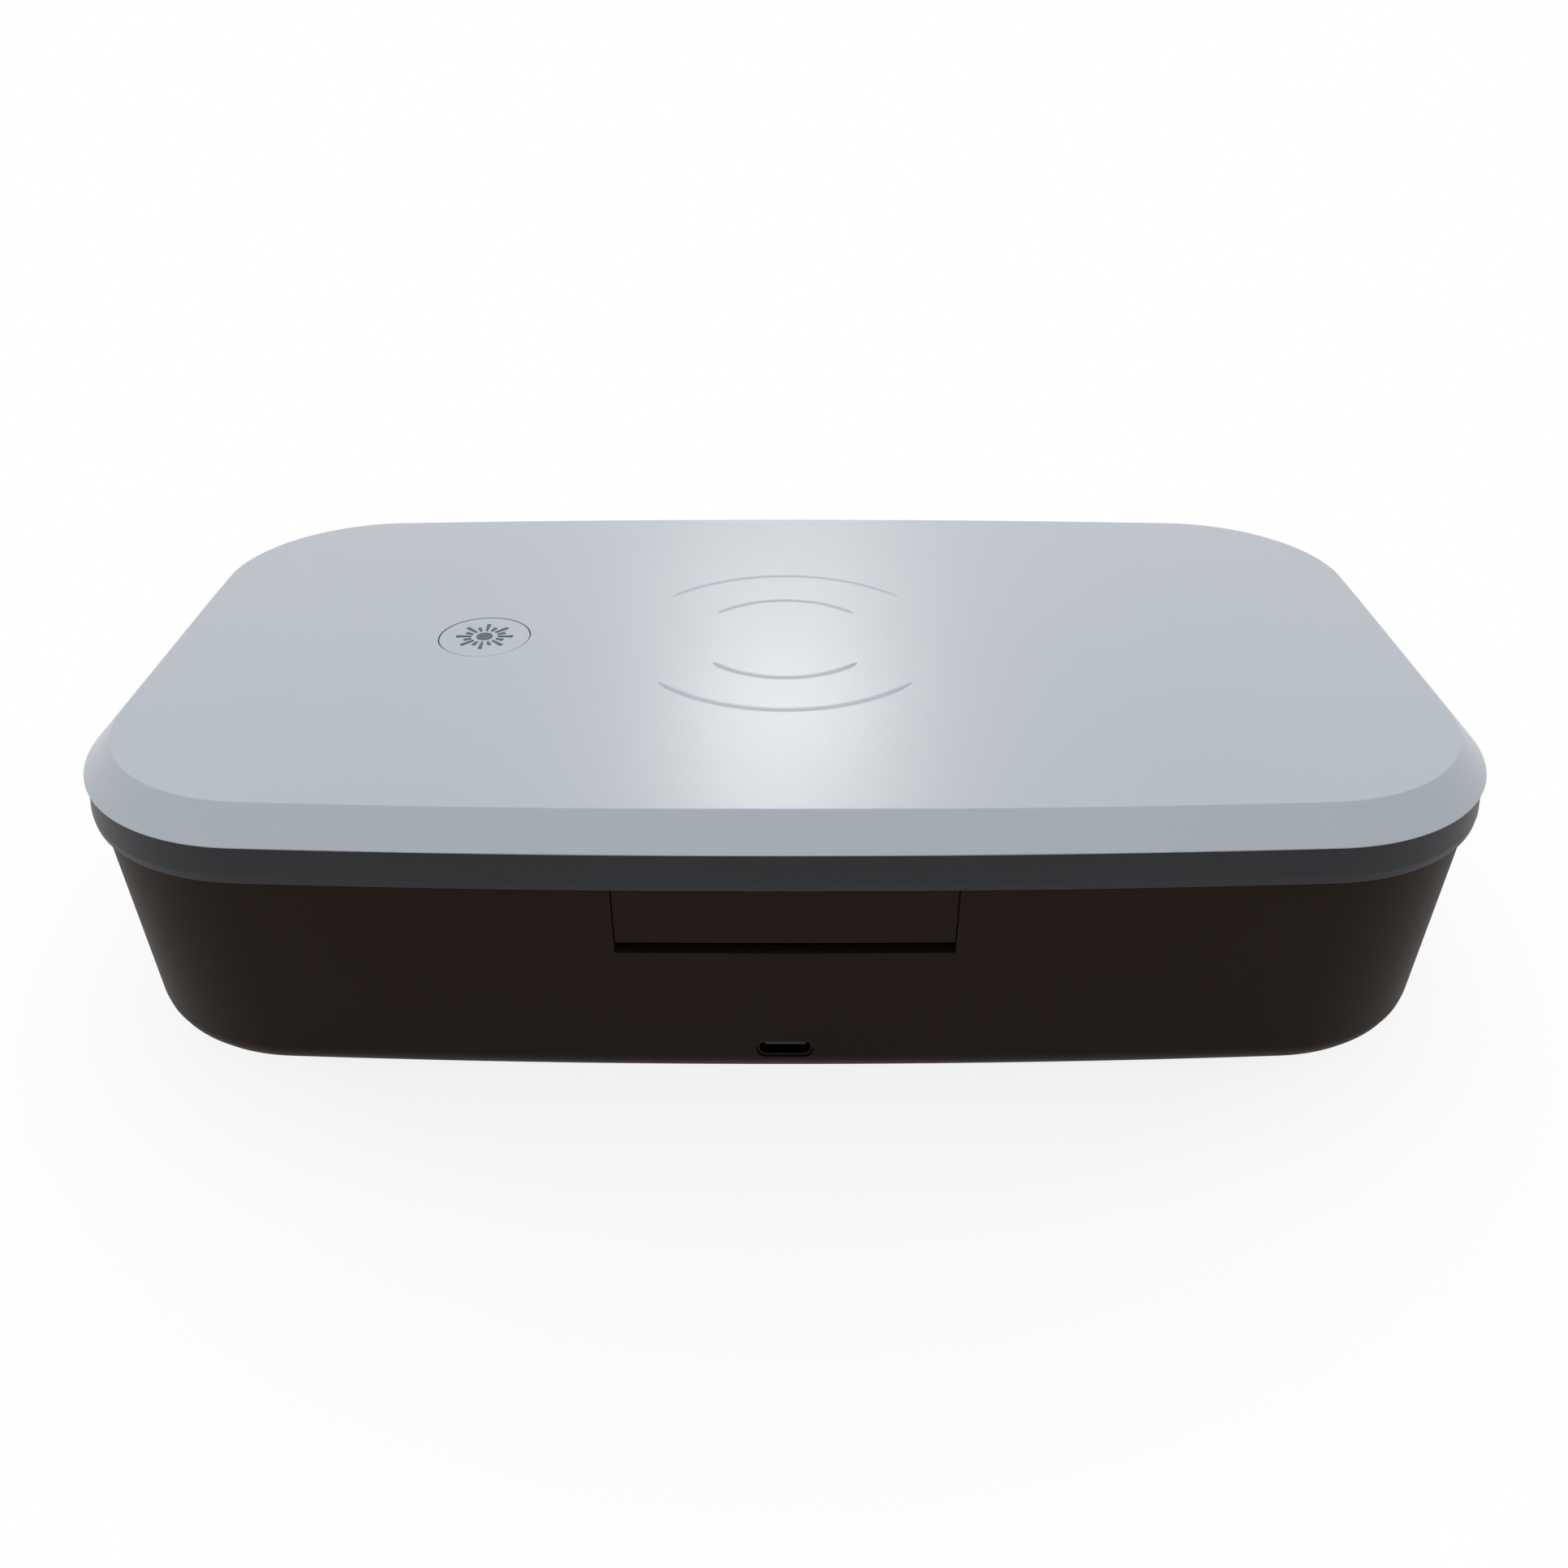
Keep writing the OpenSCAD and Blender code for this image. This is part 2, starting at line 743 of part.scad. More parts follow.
// Section of the tray's wall, from its outer face inwards
module tray_section() {
    function tray_u(z) = -(tray_top_z - z) * tan(tray_draft);
    wall_in = tray_t / cos(tray_draft);
    polygon([
        [0, tray_top_z],
        [-wall_in, tray_top_z],
        [tray_u(tray_floor_z + tray_edge) - wall_in, tray_floor_z + tray_edge],
        [tray_u(tray_floor_z) - wall_in - tray_edge, tray_floor_z],
        [-tray_corner_r + 10, tray_floor_z],
        [-tray_corner_r + 10, tray_under_z],
        [tray_u(tray_under_z) - tray_edge, tray_under_z],
        [tray_u(tray_under_z + tray_edge), tray_under_z + tray_edge]
    ]);
}

module base_trough(grow) {
    block(
        [-trough_half_len - grow, base_lamp_y - trough_half_w - grow, base_trough_z - grow],
        [
            trough_half_len + grow,
            base_lamp_y + trough_half_w + grow,
            grow > 0 ? tray_under_z + eps : tray_floor_z + cut
        ]
    );
}

module inner_tray() {
    color(mirror_color)
        difference() {
            union() {
                translate([0, tray_mid_y, 0])
                    sweep_round_rect(tray_half_w, tray_half_d, tray_corner_r)
                        tray_section();
                translate([0, tray_mid_y, tray_under_z])
                    linear_extrude(tray_t)
                        round_rect(tray_half_w - 14, tray_half_d - 14, tray_corner_r - 14);
                difference() {
                    translate([0, 0, ledge_z])
                        linear_extrude(tray_t)
                            outline(tray_flange_inset);
                    translate([0, tray_mid_y, ledge_z - cut])
                        linear_extrude(tray_t + 2 * cut)
                            round_rect(tray_half_w - 0.6, tray_half_d - 0.6, tray_corner_r - 0.6);
                }
                base_trough(tray_t);
                at_feet()
                    translate([0, 0, screw_seat_z])
                        cylinder(h = tray_under_z - screw_seat_z + eps, r = screw_boss_r, $fn = fn_mid);
                at_magnets(lid_line_inset + 0.4)
                    translate([0, 0, ledge_z - magnet_len - 0.4])
                        cylinder(
                            h = magnet_len + 0.4 + eps,
                            r = magnet_r + magnet_gap + magnet_cup_wall,
                            $fn = fn_mid
                        );
            }
            base_trough(0);
            rod_x(
                -trough_half_len - 2 * tray_t, trough_half_len + 2 * tray_t,
                base_lamp_y, base_lamp_z, wire_hole_r, fn_small
            );
            block(
                [-notch_half_w - 0.9, -half_d - cut, ledge_z - cut],
                [notch_half_w + 0.9, tray_hinge_y - 0.4, tray_top_z + cut]
            );
            at_feet()
                translate([0, 0, screw_seat_z - cut])
                    cylinder(h = screw_tip_z + 0.4 - screw_seat_z + cut, r = screw_r + screw_gap, $fn = fn_small);
            at_magnets(lid_line_inset + 0.4)
                translate([0, 0, ledge_z - magnet_len - cut])
                    cylinder(h = magnet_len + cut, r = magnet_r + magnet_gap, $fn = fn_mid);
        }
}

module tray_screws() {
    color(steel_color)
        at_feet()
            screw(0, 0, screw_seat_z - seat_t, screw_head_r, screw_head_h, screw_r, screw_tip_z);
}

module rubber_feet() {
    color(rubber_color)
        at_feet()
            rotate_extrude($fn = fn_mid)
                polygon([
                    [0, 0],
                    [foot_r - 0.4, 0],
                    [foot_r, 0.4],
                    [foot_r, foot_proud + foot_pocket - 0.05],
                    [0, foot_proud + foot_pocket - 0.05]
                ]);
}

module main_board() {
    color(board_color)
        difference() {
            block([-board_w / 2, board_back_y, board_z], [board_w / 2, board_back_y + board_d, board_top_z]);
            at_board_screws()
                cylinder(h = board_top_z + cut, r = board_hole_r, $fn = fn_small);
        }
}

module board_screws() {
    color(steel_color)
        at_board_screws()
            screw(0, 0, board_top_z, small_head_r, small_head_h, small_screw_r, floor_z + 0.5);
}

module lamp_inverter() {
    color([0.85, 0.72, 0.20])
        translate([inverter_x, board_mid_y + inverter_y, board_top_z])
            difference() {
                translate([0, 0, inverter_size[2] / 2])
                    cube(inverter_size, center = true);
                for (s = [-1, 1])
                    translate([0, s * inverter_size[1] / 2, inverter_size[2] / 2])
                        cube(inverter_groove, center = true);
            }
}

// A flat chip on a board
module chip(x, y, z, w, d, h) {
    translate([x - w / 2, y - d / 2, z])
        cube([w, d, h]);
}

module board_parts() {
    color(chip_color)
        for (c = main_chips)
            chip(c[0], board_mid_y + c[1], board_top_z, c[2], c[3], c[4]);
    color(plug_color)
        for (s = [-1, 1])
            chip(s * main_plug_x, board_mid_y, board_top_z, main_plug[0], main_plug[1], main_plug[2]);
    color(steel_color)
        translate([can_x, board_mid_y + can_y, board_top_z])
            cylinder(h = can_h, r = can_r, $fn = fn_mid);
}

module port_shell() {
    color(steel_color)
        translate([0, port_front_y + port_len, port_z])
            rotate([90, 0, 0])
                difference() {
                    linear_extrude(port_len)
                        stadium(port_w, port_h);
                    translate([0, 0, 0.4])
                        linear_extrude(port_len)
                            stadium(port_w - 2 * port_wall, port_h - 2 * port_wall);
                }
}

module port_tongue() {
    color(chip_color)
        block(
            [-3.35, port_front_y + 1.1, port_z - 0.35],
            [3.35, port_front_y + port_len - 0.4, port_z + 0.35]
        );
}

// One lamp along X, with its two metal caps apart
module lamp_tube(y, z) {
    rod_x(-lamp_len / 2, lamp_len / 2, y, z, lamp_r);
}

module lamp_caps(y, z) {
    for (s = [-1, 1])
        difference() {
            rod_x(
                min(s * cap_out_x, s * (cap_out_x - lamp_cap_len)),
                max(s * cap_out_x, s * (cap_out_x - lamp_cap_len)),
                y, z, lamp_cap_r
            );
            rod_x(
                min(s * (lamp_len / 2), s * (cap_out_x - lamp_cap_len - cut)),
                max(s * (lamp_len / 2), s * (cap_out_x - lamp_cap_len - cut)),
                y, z, lamp_r + holder_gap
            );
        }
}

// Rubber blocks that carry the caps in a trough between two heights
module lamp_holders(y, z, low_z, high_z) {
    for (s = [-1, 1])
        difference() {
            block(
                [s * holder_x - holder_t / 2, y - holder_half_w, low_z],
                [s * holder_x + holder_t / 2, y + holder_half_w, high_z]
            );
            rod_x(
                s * holder_x - holder_t, s * holder_x + holder_t,
                y, z, lamp_cap_r + holder_gap
            );
        }
}

module lamp_window(y, low_z) {
    translate([0, y, low_z])
        linear_extrude(window_t)
            round_rect(trough_half_len + window_lap, trough_half_w + window_lap, 2);
}

module base_lamp_tube() {
    color(clear_color)
        lamp_tube(base_lamp_y, base_lamp_z);
}

module base_lamp_caps() {
    color(steel_color)
        lamp_caps(base_lamp_y, base_lamp_z);
}

module base_lamp_holders() {
    color(rubber_color)
        lamp_holders(base_lamp_y, base_lamp_z, base_trough_z, tray_floor_z - 0.6);
}

module base_lamp_window() {
    color(clear_color)
        lamp_window(base_lamp_y, tray_floor_z);
}

module phone_rails() {
    color(clear_color)
        for (y = [rail_y_hinge_side, rail_y_front])
            translate([-rail_len / 2, y, tray_floor_z])
                rotate([90, 0, 90])
                    linear_extrude(rail_len) {
                        translate([-rail_w / 2, 0])
                            square([rail_w, rail_h - rail_w / 2]);
                        translate([0, rail_h - rail_w / 2])
                            circle(rail_w / 2, $fn = fn_mid);
                    }
}

module base_magnets() {
    color(steel_color)
        at_magnets(lid_line_inset + 0.4)
            translate([0, 0, ledge_z - magnet_len])
                cylinder(h = magnet_len, r = magnet_r, $fn = fn_mid);
}

module lid_sensor() {
    sensor_y = side_y(sensor_x, lid_line_inset + 0.5);
    color(board_color)
        chip(sensor_x, sensor_y, ledge_z - 0.8, sensor_w, sensor_d, 0.8);
    color(chip_color)
        chip(sensor_x, sensor_y, ledge_z - 1.8, 3, 2, 1 + eps);
}

module base_wires() {
    wire_z = board_top_z + wire_r;
    inverter_back_y = board_mid_y + inverter_y + inverter_size[1] / 2;
    end_x = trough_half_len + tray_t + 3;
    wire_down_x = pin_end_x + 2.5;
    color(wire_color)
        for (s = [-1, 1]) {
            wire([
                [inverter_x + s * 3, inverter_back_y, wire_z + 0.1],
                [inverter_x + s * 3, inverter_back_y + 10, wire_z + 0.1],
                [s * (end_x - 12), inverter_back_y + 15, wire_z],
                [s * end_x, base_lamp_y - 8, base_lamp_z],
                [s * end_x, base_lamp_y, base_lamp_z],
                [s * cap_out_x, base_lamp_y, base_lamp_z]
            ], wire_r);
            wire([
                [s * (pin_end_x + 0.05), axis_y, axis_z],
                [s * wire_down_x, axis_y, axis_z],
                [s * wire_down_x, axis_y + 3.5, axis_z - 3],
                [s * (wire_down_x - 0.5), board_back_y, 13],
                [s * (board_w / 2 - 2), board_back_y + 0.8, wire_z]
            ], wire_r);
        }
}

module hinge_pins() {
    color(steel_color)
        for (s = [-1, 1])
            difference() {
                rod_x(
                    min(s * pin_inner_x, s * pin_end_x), max(s * pin_inner_x, s * pin_end_x),
                    axis_y, axis_z, pin_r
                );
                rod_x(
                    min(s * pin_inner_x, s * pin_end_x) - cut,
                    max(s * pin_inner_x, s * pin_end_x) + cut,
                    axis_y, axis_z, pin_bore_r
                );
            }
}

// Lid

// Section of the cover's sloped edge, with a part of its plate
module cover_section() {
    foot_in = frame_wall + band_inset + 0.6;
    polygon([
        [section_in_u, lid_top_z],
        [-slope_run, lid_top_z],
        [0, band_top_z + 0.3],
        [-0.3, band_top_z],
        [-foot_in, band_top_z],
        [-slope_run - cover_wall * 0.6, cover_under_z],
        [section_in_u, cover_under_z]
    ]);
}

// A raised arc of the charging symbol
module raised_arc(r, side) {
    rotate(side * 90 - arc_span / 2)
        rotate_extrude(angle = arc_span, $fn = 2 * fn_large)
            translate([r, lid_top_z])
                polygon([
                    [-arc_w / 2, -0.2],
                    [-arc_w / 2, 0],
                    [-arc_w / 4, arc_h],
                    [arc_w / 4, arc_h],
                    [arc_w / 2, 0],
                    [arc_w / 2, -0.2]
                ]);
}

module lid_cover() {
    color(cover_color)
        difference() {
            union() {
                sweep_outline()
                    cover_section();
                translate([0, 0, cover_under_z])
                    linear_extrude(cover_wall)
                        outline(plate_inset);
                for (r = [arc_inner_r, arc_outer_r], side = [-1, 1])
                    raised_arc(r, side);
                at_lid_screws()
                    translate([0, 0, flange_top_z])
                        cylinder(h = cover_under_z - flange_top_z + eps, r = 2.4, $fn = fn_mid);
                at_charger_screws()
                    translate([0, 0, charger_top_z])
                        cylinder(h = cover_under_z - charger_top_z + eps, r = charger_boss_r, $fn = fn_mid);
            }
            translate([-button_x, button_y, cover_under_z - cut])
                cylinder(h = cover_wall + 2 * cut, r = button_r + button_gap, $fn = fn_large);
            at_lid_screws()
                cylinder(h = cover_under_z - 1, r = small_screw_r + screw_gap, $fn = fn_small);
            at_charger_screws()
                cylinder(h = cover_under_z - 0.5, r = small_screw_r + screw_gap, $fn = fn_small);
        }
}

// Section of the dark band with its flange and the lip that centres the cover
module frame_section() {
    lip_out = frame_wall + band_inset + 0.6 + 1 + lip_gap;
    polygon([
        [-band_inset, band_top_z],
        [0, band_bottom_z + 0.5],
        [-0.5, band_bottom_z],
        [-frame_flange_w, band_bottom_z],
        [-frame_flange_w, flange_top_z],
        [-frame_wall - band_inset, flange_top_z],
        [-frame_wall - band_inset, band_top_z - 1.2],
        [-lip_out - 1, band_top_z - 1.2],
        [-lip_out - 1, band_top_z + 0.9],
        [-lip_out, band_top_z + 0.9],
        [-lip_out, band_top_z]
    ]);
}

module lid_frame() {
    color(band_color)
        difference() {
            union() {
                sweep_outline()
                    frame_section();
                at_magnets(lid_line_inset + 0.4)
                    translate([0, 0, flange_top_z - eps])
                        cylinder(
                            h = lid_magnet_len,
                            r = magnet_r + magnet_gap + magnet_cup_wall,
                            $fn = fn_mid
                        );
            }
            at_magnets(lid_line_inset + 0.4)
                translate([0, 0, flange_top_z])
                    cylinder(h = lid_magnet_len + cut, r = magnet_r + magnet_gap, $fn = fn_mid);
            at_lid_screws() {
                translate([0, 0, flange_top_z])
                    cylinder(h = 8, r = 2.7, $fn = fn_mid);
                translate([0, 0, band_bottom_z - cut])
                    cylinder(h = cut + 0.7, r = small_head_r + 0.2, $fn = fn_mid);
                cylinder(h = band_top_z, r = small_screw_r + 0.2, $fn = fn_small);
            }
            at_bumpers()
                translate([0, 0, band_bottom_z - cut])
                    cylinder(h = cut + bumper_h - bumper_drop, r = bumper_r + 0.05, $fn = fn_mid);
            for (s = [-1, 1]) {
                for (x = leaf_screw_x)
                    translate([s * x, leaf_screw_y, band_bottom_z - cut])
                        cylinder(h = frame_flange_t + 2 * cut, r = small_screw_r + 0.2, $fn = fn_small);
                translate([s * cable_x, leaf_screw_y, band_bottom_z - cut])
                    cylinder(h = frame_flange_t + 2 * cut, r = cable_hole_r, $fn = fn_small);
            }
        }
}

// Section of the leaf's wall: its face lies in the plane of the base wall
module leaf_section() {
    polygon([
        [wall_u(leaf_bottom_z + 0.4), leaf_bottom_z + 0.4],
        [wall_u(band_bottom_z), band_bottom_z],
        [-leaf_foot_w, band_bottom_z],
        [-leaf_foot_w, band_bottom_z - leaf_foot_t],
        [inner_u(band_bottom_z - leaf_foot_t, leaf_wall), band_bottom_z - leaf_foot_t],
        [inner_u(leaf_bottom_z, leaf_wall), leaf_bottom_z],
        [wall_u(leaf_bottom_z) - 0.4, leaf_bottom_z]
    ]);
}

module hinge_leaf() {
    color(base_color)
        difference() {
            union() {
                intersection() {
                    sweep_outline()
                        leaf_section();
                    block(
                        [-leaf_w / 2, -half_d - cut, leaf_bottom_z - cut],
                        [leaf_w / 2, -half_d + leaf_foot_w + cut, band_bottom_z + cut]
                    );
                }
                for (s = [-1, 1])
                    rod_x(
                        min(s * (leaf_w / 2 - barrel_len), s * leaf_w / 2),
                        max(s * (leaf_w / 2 - barrel_len), s * leaf_w / 2),
                        axis_y, axis_z, barrel_r
                    );
                for (s = [-1, 1], x = leaf_screw_x)
                    translate([s * x, leaf_screw_y, band_bottom_z - leaf_boss_len])
                        cylinder(h = leaf_boss_len, r = leaf_boss_r, $fn = fn_mid);
            }
            for (s = [-1, 1])
                rod_x(
                    min(s * (cable_x - 1.5), s * (leaf_w / 2 + cut)),
                    max(s * (cable_x - 1.5), s * (leaf_w / 2 + cut)),
                    axis_y, axis_z, pin_r + pin_gap
                );
            for (s = [-1, 1]) {
                for (x = leaf_screw_x)
                    translate([s * x, leaf_screw_y, band_bottom_z - leaf_boss_len + 0.6])
                        cylinder(h = leaf_boss_len, r = small_screw_r + screw_gap, $fn = fn_small);
                translate([s * cable_x, leaf_screw_y, band_bottom_z - leaf_foot_t - cut])
                    cylinder(h = leaf_foot_t + 2 * cut, r = cable_hole_r, $fn = fn_small);
            }
        }
}

module leaf_screws() {
    color(steel_color)
        for (s = [-1, 1], x = leaf_screw_x)
            screw(
                s * x, leaf_screw_y, flange_top_z, small_head_r, small_head_h,
                small_screw_r, band_bottom_z - leaf_boss_len + 1
            );
}

module lid_trough(grow) {
    block(
        [
            -trough_half_len - grow,
            lid_lamp_y - trough_half_w - grow,
            grow > 0 ? panel_top_z - eps : flange_top_z - cut
        ],
        [trough_half_len + grow, lid_lamp_y + trough_half_w + grow, lid_trough_z + grow]
    );
}

module lid_panel() {
    color(mirror_color)
        difference() {
            union() {
                translate([0, 0, flange_top_z])
                    linear_extrude(panel_t)
                        outline(panel_inset);
                lid_trough(trough_wall);
            }
            lid_trough(0);
            rod_x(
                -trough_half_len - 2 * trough_wall, trough_half_len + 2 * trough_wall,
                lid_lamp_y, lid_lamp_z, wire_hole_r, fn_small
            );
        }
}

module lid_lamp_tube() {
    color(clear_color)
        lamp_tube(lid_lamp_y, lid_lamp_z);
}

module lid_lamp_caps() {
    color(steel_color)
        lamp_caps(lid_lamp_y, lid_lamp_z);
}

module lid_lamp_holders() {
    color(rubber_color)
        lamp_holders(lid_lamp_y, lid_lamp_z, flange_top_z + 0.1, lid_trough_z);
}

module lid_lamp_window() {
    color(clear_color)
        lamp_window(lid_lamp_y, flange_top_z - window_t);
}

module charging_coil() {
    color(copper_color)
        translate([0, 0, cover_under_z - coil_t])
            difference() {
                cylinder(h = coil_t, r = coil_r, $fn = fn_large);
                translate([0, 0, -cut])
                    cylinder(h = coil_t + 2 * cut, r = coil_hole_r, $fn = fn_large);
            }
}

module ferrite_sheet() {
    color(chip_color)
        translate([0, 0, cover_under_z - coil_t - ferrite_t])
            cylinder(h = ferrite_t, r = ferrite_r, $fn = fn_large);
}

module charger_board() {
    color(board_color)
        difference() {
            translate([charger_board_x - charger_board_w / 2, -charger_board_d / 2, charger_board_z])
                cube([charger_board_w, charger_board_d, board_t]);
            at_charger_screws()
                cylinder(h = charger_top_z + cut, r = board_hole_r, $fn = fn_small);
        }
}

module charger_parts() {
    color(chip_color)
        for (c = lid_chips)
            chip(charger_board_x + c[0], c[1], charger_top_z, c[2], c[3], c[4]);
    color(plug_color)
        chip(
            charger_board_x, -charger_board_d / 2 + lid_plug_inset, charger_top_z,
            lid_plug[0], lid_plug[1], lid_plug[2]
        );
}

module charger_screws() {
    color(steel_color)
        at_charger_screws()
            screw(0, 0, charger_board_z, small_head_r, 0.8, small_screw_r, cover_under_z - 1);
}

module button_switch() {
    color(chip_color)
        translate([-button_x, button_y, charger_top_z])
            difference() {
                translate([-switch_w / 2, -switch_w / 2, 0])
                    cube([switch_w, switch_w, switch_h]);
                translate([0, 0, 0.2])
                    cylinder(h = switch_h, r = plunger_r + plunger_gap, $fn = fn_mid);
            }
}

module lid_magnets() {
    color(steel_color)
        at_magnets(lid_line_inset + 0.4)
            translate([0, 0, flange_top_z])
                cylinder(h = lid_magnet_len, r = magnet_r, $fn = fn_mid);
}

module lid_screws() {
    color(steel_color)
        at_lid_screws()
            screw(0, 0, band_bottom_z + 0.7, small_head_r, 0.6, small_screw_r, band_top_z + 1);
}

module lid_bumpers() {
    color(rubber_color)
        at_bumpers()
            translate([0, 0, band_bottom_z - bumper_drop])
                cylinder(h = bumper_h, r = bumper_r, $fn = fn_mid);
}

module lid_wires() {
    wire_z = charger_top_z + wire_r;
    plug_y = -charger_board_d / 2 + 1.25;
    lamp_turn_x = trough_half_len + trough_wall + 4;
    plug_x = charger_board_x;
    color(wire_color) {
        for (s = [-1, 1])
            wire([
                [s * cable_x, leaf_screw_y, flange_top_z],
                [s * cable_x, leaf_screw_y, wire_z - 0.7],
                [plug_x + s * 2.6, plug_y - 8.5 + 2 * s, wire_z],
                [plug_x + s * 2.6, plug_y, wire_z]
            ], wire_r);
        wire([
            [plug_x - 16, 3.5, wire_z],
            [plug_x - 16, 19.5, wire_z],
            [-lamp_turn_x, lid_lamp_y - 8, lid_lamp_z],
            [-lamp_turn_x, lid_lamp_y, lid_lamp_z],
            [-cap_out_x, lid_lamp_y, lid_lamp_z]
        ], wire_r);
        wire([
            [plug_x + 14, 10.5, wire_z],
            [plug_x + 14, lid_lamp_y - 14, wire_z],
            [plug_x + 20, lid_lamp_y - 12, wire_z],
            [lamp_turn_x - 4, lid_lamp_y - 12, lid_lamp_z],
            [lamp_turn_x, lid_lamp_y - 8, lid_lamp_z],
            [lamp_turn_x, lid_lamp_y, lid_lamp_z],
            [cap_out_x, lid_lamp_y, lid_lamp_z]
        ], wire_r);
    }
}

module hinge_cables() {
    color(wire_color)
        for (s = [-1, 1])
            wire([
                [s * pin_end_x, axis_y, axis_z],
                [s * cable_x, axis_y, axis_z],
                [s * cable_x, leaf_screw_y, cable_bend_z],
                [s * cable_x, leaf_screw_y, flange_top_z]
            ], wire_r);
}

// Button

module power_button() {
    color(cover_color)
        translate([-button_x, button_y, 0]) {
            difference() {
                rotate_extrude($fn = fn_large)
                    polygon([
                        [0, button_flange_z],
                        [button_r + button_lip, button_flange_z],
                        [button_r + button_lip, button_flange_z + button_flange_t],
                        [button_r, button_flange_z + button_flange_t],
                        [button_r, lid_top_z - button_top_chamfer],
                        [button_r - button_top_chamfer, lid_top_z],
                        [0, lid_top_z]
                    ]);
                translate([0, 0, button_flange_z - cut])
                    cylinder(
                        h = lid_top_z - button_roof_t - button_flange_z + cut,
                        r = button_r - button_skirt_wall,
                        $fn = fn_mid
                    );
            }
            translate([0, 0, stem_z])
                cylinder(h = lid_top_z - button_roof_t - stem_z + eps, r = stem_r, $fn = fn_mid);
        }
}

module sun_symbol() {
    color([0.22, 0.26, 0.32])
        translate([-button_x, button_y, lid_top_z])
            linear_extrude(sun_t) {
                circle(sun_r, $fn = fn_mid);
                for (i = [0:ray_count - 1]) {
                    end_r = i % 2 == 0 ? ray_long_r : ray_short_r;
                    rotate(i * 360 / ray_count)
                        polygon([
                            [ray_in_r, -ray_w / 4],
                            [end_r, -ray_w / 2],
                            [end_r, ray_w / 2],
                            [ray_in_r, ray_w / 4]
                        ]);
                }
            }
}

module switch_plunger() {
    color(steel_color)
        translate([-button_x, button_y, stem_z - plunger_len])
            cylinder(h = plunger_len, r = plunger_r, $fn = fn_mid);
}

base_shell();
inner_tray();
tray_screws();
rubber_feet();
main_board();
board_screws();
lamp_inverter();
board_parts();
port_shell();
port_tongue();
base_lamp_tube();
base_lamp_caps();
base_lamp_holders();
base_lamp_window();
phone_rails();
base_magnets();
lid_sensor();
base_wires();
hinge_pins();
lid_cover();
lid_frame();
hinge_leaf();
leaf_screws();
lid_panel();
lid_lamp_tube();
lid_lamp_caps();
lid_lamp_holders();
lid_lamp_window();
charging_coil();
ferrite_sheet();
charger_board();
charger_parts();
charger_screws();
button_switch();
lid_magnets();
lid_screws();
lid_bumpers();
lid_wires();
hinge_cables();
power_button();
sun_symbol();
switch_plunger();
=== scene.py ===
"""Dresses the phone sanitizer box: moulded shells, mirrored insides, lamps, boards and wires."""

import json
import logging
import math
from collections.abc import Callable, Mapping, Sequence
from dataclasses import dataclass, field
from enum import Enum
from typing import Any

import bmesh
import bpy
from mathutils import Matrix, Vector

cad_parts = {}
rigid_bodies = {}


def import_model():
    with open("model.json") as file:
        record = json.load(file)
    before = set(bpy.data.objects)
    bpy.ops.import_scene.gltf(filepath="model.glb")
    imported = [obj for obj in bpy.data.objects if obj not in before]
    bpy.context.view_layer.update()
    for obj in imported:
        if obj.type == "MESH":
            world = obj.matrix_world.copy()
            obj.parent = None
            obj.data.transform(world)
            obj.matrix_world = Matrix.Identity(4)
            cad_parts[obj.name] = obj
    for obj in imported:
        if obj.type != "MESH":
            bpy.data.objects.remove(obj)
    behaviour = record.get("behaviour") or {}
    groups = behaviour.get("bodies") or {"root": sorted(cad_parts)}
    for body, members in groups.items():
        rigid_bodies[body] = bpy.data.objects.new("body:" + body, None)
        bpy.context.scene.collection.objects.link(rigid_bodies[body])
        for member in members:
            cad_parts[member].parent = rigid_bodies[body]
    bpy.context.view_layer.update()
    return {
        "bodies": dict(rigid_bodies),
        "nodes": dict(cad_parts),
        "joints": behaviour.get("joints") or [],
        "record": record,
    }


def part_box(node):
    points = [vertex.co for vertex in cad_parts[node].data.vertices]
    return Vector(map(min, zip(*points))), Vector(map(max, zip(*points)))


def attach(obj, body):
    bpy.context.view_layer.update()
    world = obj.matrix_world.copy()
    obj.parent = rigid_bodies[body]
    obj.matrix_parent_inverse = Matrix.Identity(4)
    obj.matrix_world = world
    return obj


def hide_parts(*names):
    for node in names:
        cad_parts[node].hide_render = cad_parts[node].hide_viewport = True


MM = 0.001
SAME_PLACE = 0.0005
NO_LENGTH = 0.0002
SMOOTH_BELOW = math.radians(32.0)
LOG = logging.getLogger("phone_box")
Colour = tuple[float, float, float, float]
Point = tuple[float, float]
Spot = tuple[float, float, float]
Shape = list[Point]


def srgb(red: int, green: int, blue: int) -> Colour:
    """Turns a colour as it is seen on a screen into the linear values of a shader.

    Args:
        red, green, blue: The channels, from 0 to 255.

    Returns:
        The linear colour with an alpha of 1.
    """
    channels = [channel / 255 for channel in (red, green, blue)]
    linear = [c / 12.92 if c <= 0.04045 else ((c + 0.055) / 1.055) ** 2.4 for c in channels]
    return (linear[0], linear[1], linear[2], 1.0)


# Node trees


def operator(
    operation: str, swapped: bool = False
) -> Callable[["Signal", "Signal | float"], "Signal"]:
    """Makes the method behind one operator.

    Args:
        operation: What its Math node does.
        swapped: Whether self comes second, as in a reflected operator.

    Returns:
        The method.
    """

    def method(self: "Signal", other: "Signal | float") -> "Signal":
        """Adds the node to the tree of self."""
        return self.apply(operation, *((other, self) if swapped else (self, other)))

    return method


